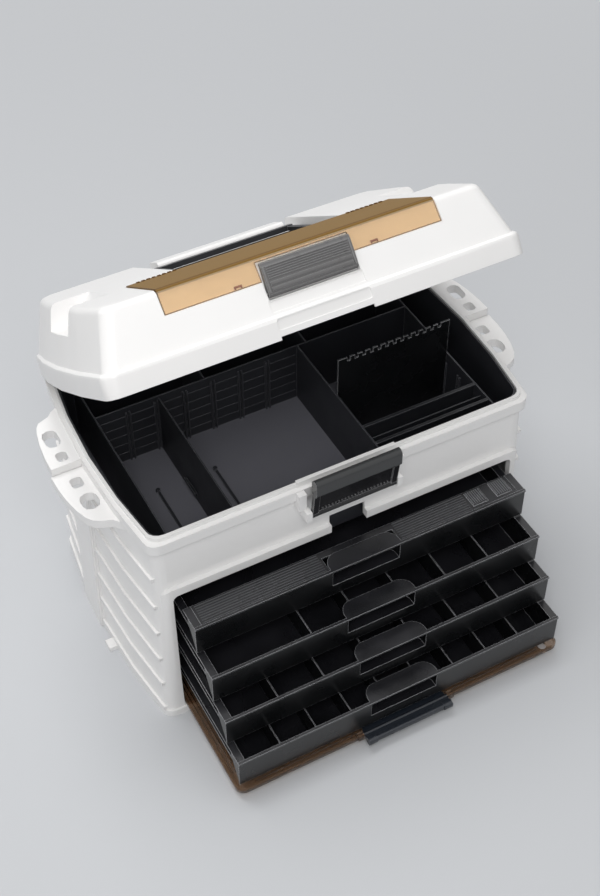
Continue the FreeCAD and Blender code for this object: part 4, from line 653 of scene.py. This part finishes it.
def pale_surround():
    """A world in the backdrop's tone for the camera and white for all other rays.

    Its strength is that of the larger of three marks: camera, transmission or glossy ray.
    """
    world = bpy.data.worlds.new("studio")
    world.use_nodes = True
    tree = world.node_tree
    tree.nodes.clear()
    path = add(tree, "ShaderNodeLightPath").outputs
    seen = add(tree, "ShaderNodeMath", {0: path["Is Camera Ray"], 1: path["Is Transmission Ray"]},
               operation="MAXIMUM")
    bright = add(tree, "ShaderNodeMath", {0: seen, 1: path["Is Glossy Ray"]}, operation="MAXIMUM")
    strength = add(tree, "ShaderNodeMapRange", {"Value": bright, "To Min": OBJECT_LIGHT,
                                                "To Max": SEEN_LIGHT})
    hue = add(tree, "ShaderNodeMix", {"Factor": path["Is Camera Ray"], "A": tone("#FFFFFF"),
                                      "B": tone(BACKDROP)}, data_type="RGBA")
    glow = add(tree, "ShaderNodeBackground", {"Color": hue, "Strength": strength})
    add(tree, "ShaderNodeOutputWorld", {"Surface": glow})
    bpy.context.scene.world = world
    return world


floor = pale_floor()
surround = pale_surround()
print("studio:", floor.name, surround.name)

# %% [markdown]
# ## Lamps
# Three large soft lamps shape the object. The key stands in front above the camera, a
# stronger one behind and above makes the lid and all level faces bright, and a weak one
# on the left fills the shadows. One lamp could light the object alone, but the level and
# the upright faces could not be set against each other then.

# %% Lamps
LOOK_AT = (0.0, 0.0, 0.3)


def softbox(name, spot, size, watts):
    """A square area lamp at a spot, turned so that its face looks at the object.

    Its own Z is spot minus target at length 1, its X is UP crossed with Z, and its Y is
    Z crossed with X.
    """
    lamp = bpy.data.lights.new(name, "AREA")
    lamp.size, lamp.energy = size, watts
    piece = bpy.data.objects.new(name, lamp)
    away = np.subtract(spot, LOOK_AT)
    away /= np.linalg.norm(away)
    level = np.cross(UP, away)
    level /= np.linalg.norm(level)
    turn = np.eye(4)
    turn[:3] = np.stack([level, np.cross(away, level), away, spot], axis=1)
    piece.matrix_world = Matrix(turn.tolist())
    bpy.context.scene.collection.objects.link(piece)
    print(name, "lamp:", watts, "W over", size, "m")
    return piece


softbox("key", spot=(-0.7, -1.5, 2.4), size=1.1, watts=22)
softbox("top", spot=(-0.3, 0.8, 2.8), size=1.6, watts=39)
softbox("fill", spot=(-2.4, -0.9, 1.3), size=1.2, watts=4)

# %% [markdown]
# ## Camera
# The camera could be set by eye. It was fitted to edges in the photograph instead, so
# that the two pictures lie over each other. It stands to the left in front, looks down
# at 46 degrees, and rolls by a third of a degree. The lens fits a frame whose longer side
# is the height.

# %% Camera
SENSOR = 36.0


def camera_at(spot, azimuth, elevation, roll, focal_px, height_px):
    """A camera from its place, its viewing angles in degrees and its focal length in pixels.

    It looks against (sin a cos e, -cos a cos e, sin e), with a the azimuth and e the
    elevation, and then turns about that line by the roll.
    """
    a, e, r = np.radians([azimuth, elevation, roll])
    back = np.array([np.sin(a) * np.cos(e), -np.cos(a) * np.cos(e), np.sin(e)])
    right = np.array([np.cos(a), np.sin(a), 0.0])
    up = np.cross(back, right)
    turn = np.eye(4)
    turn[:3] = np.stack([np.cos(r) * right + np.sin(r) * up, np.cos(r) * up - np.sin(r) * right,
                         back, spot], axis=1)
    data = bpy.data.cameras.new("camera")
    data.sensor_fit, data.sensor_width = "AUTO", SENSOR
    data.lens = SENSOR * focal_px / height_px
    piece = bpy.data.objects.new("camera", data)
    piece.matrix_world = Matrix(turn.tolist())
    bpy.context.scene.collection.objects.link(piece)
    bpy.context.scene.camera = piece
    print("lens in mm:", round(data.lens, 2))
    return piece


camera_at(spot=(-0.6091, -1.1901, 1.5951), azimuth=-28.0114, elevation=45.9910, roll=-0.3112,
          focal_px=1446.02, height_px=896)
bpy.context.scene.view_settings.view_transform = "Standard"
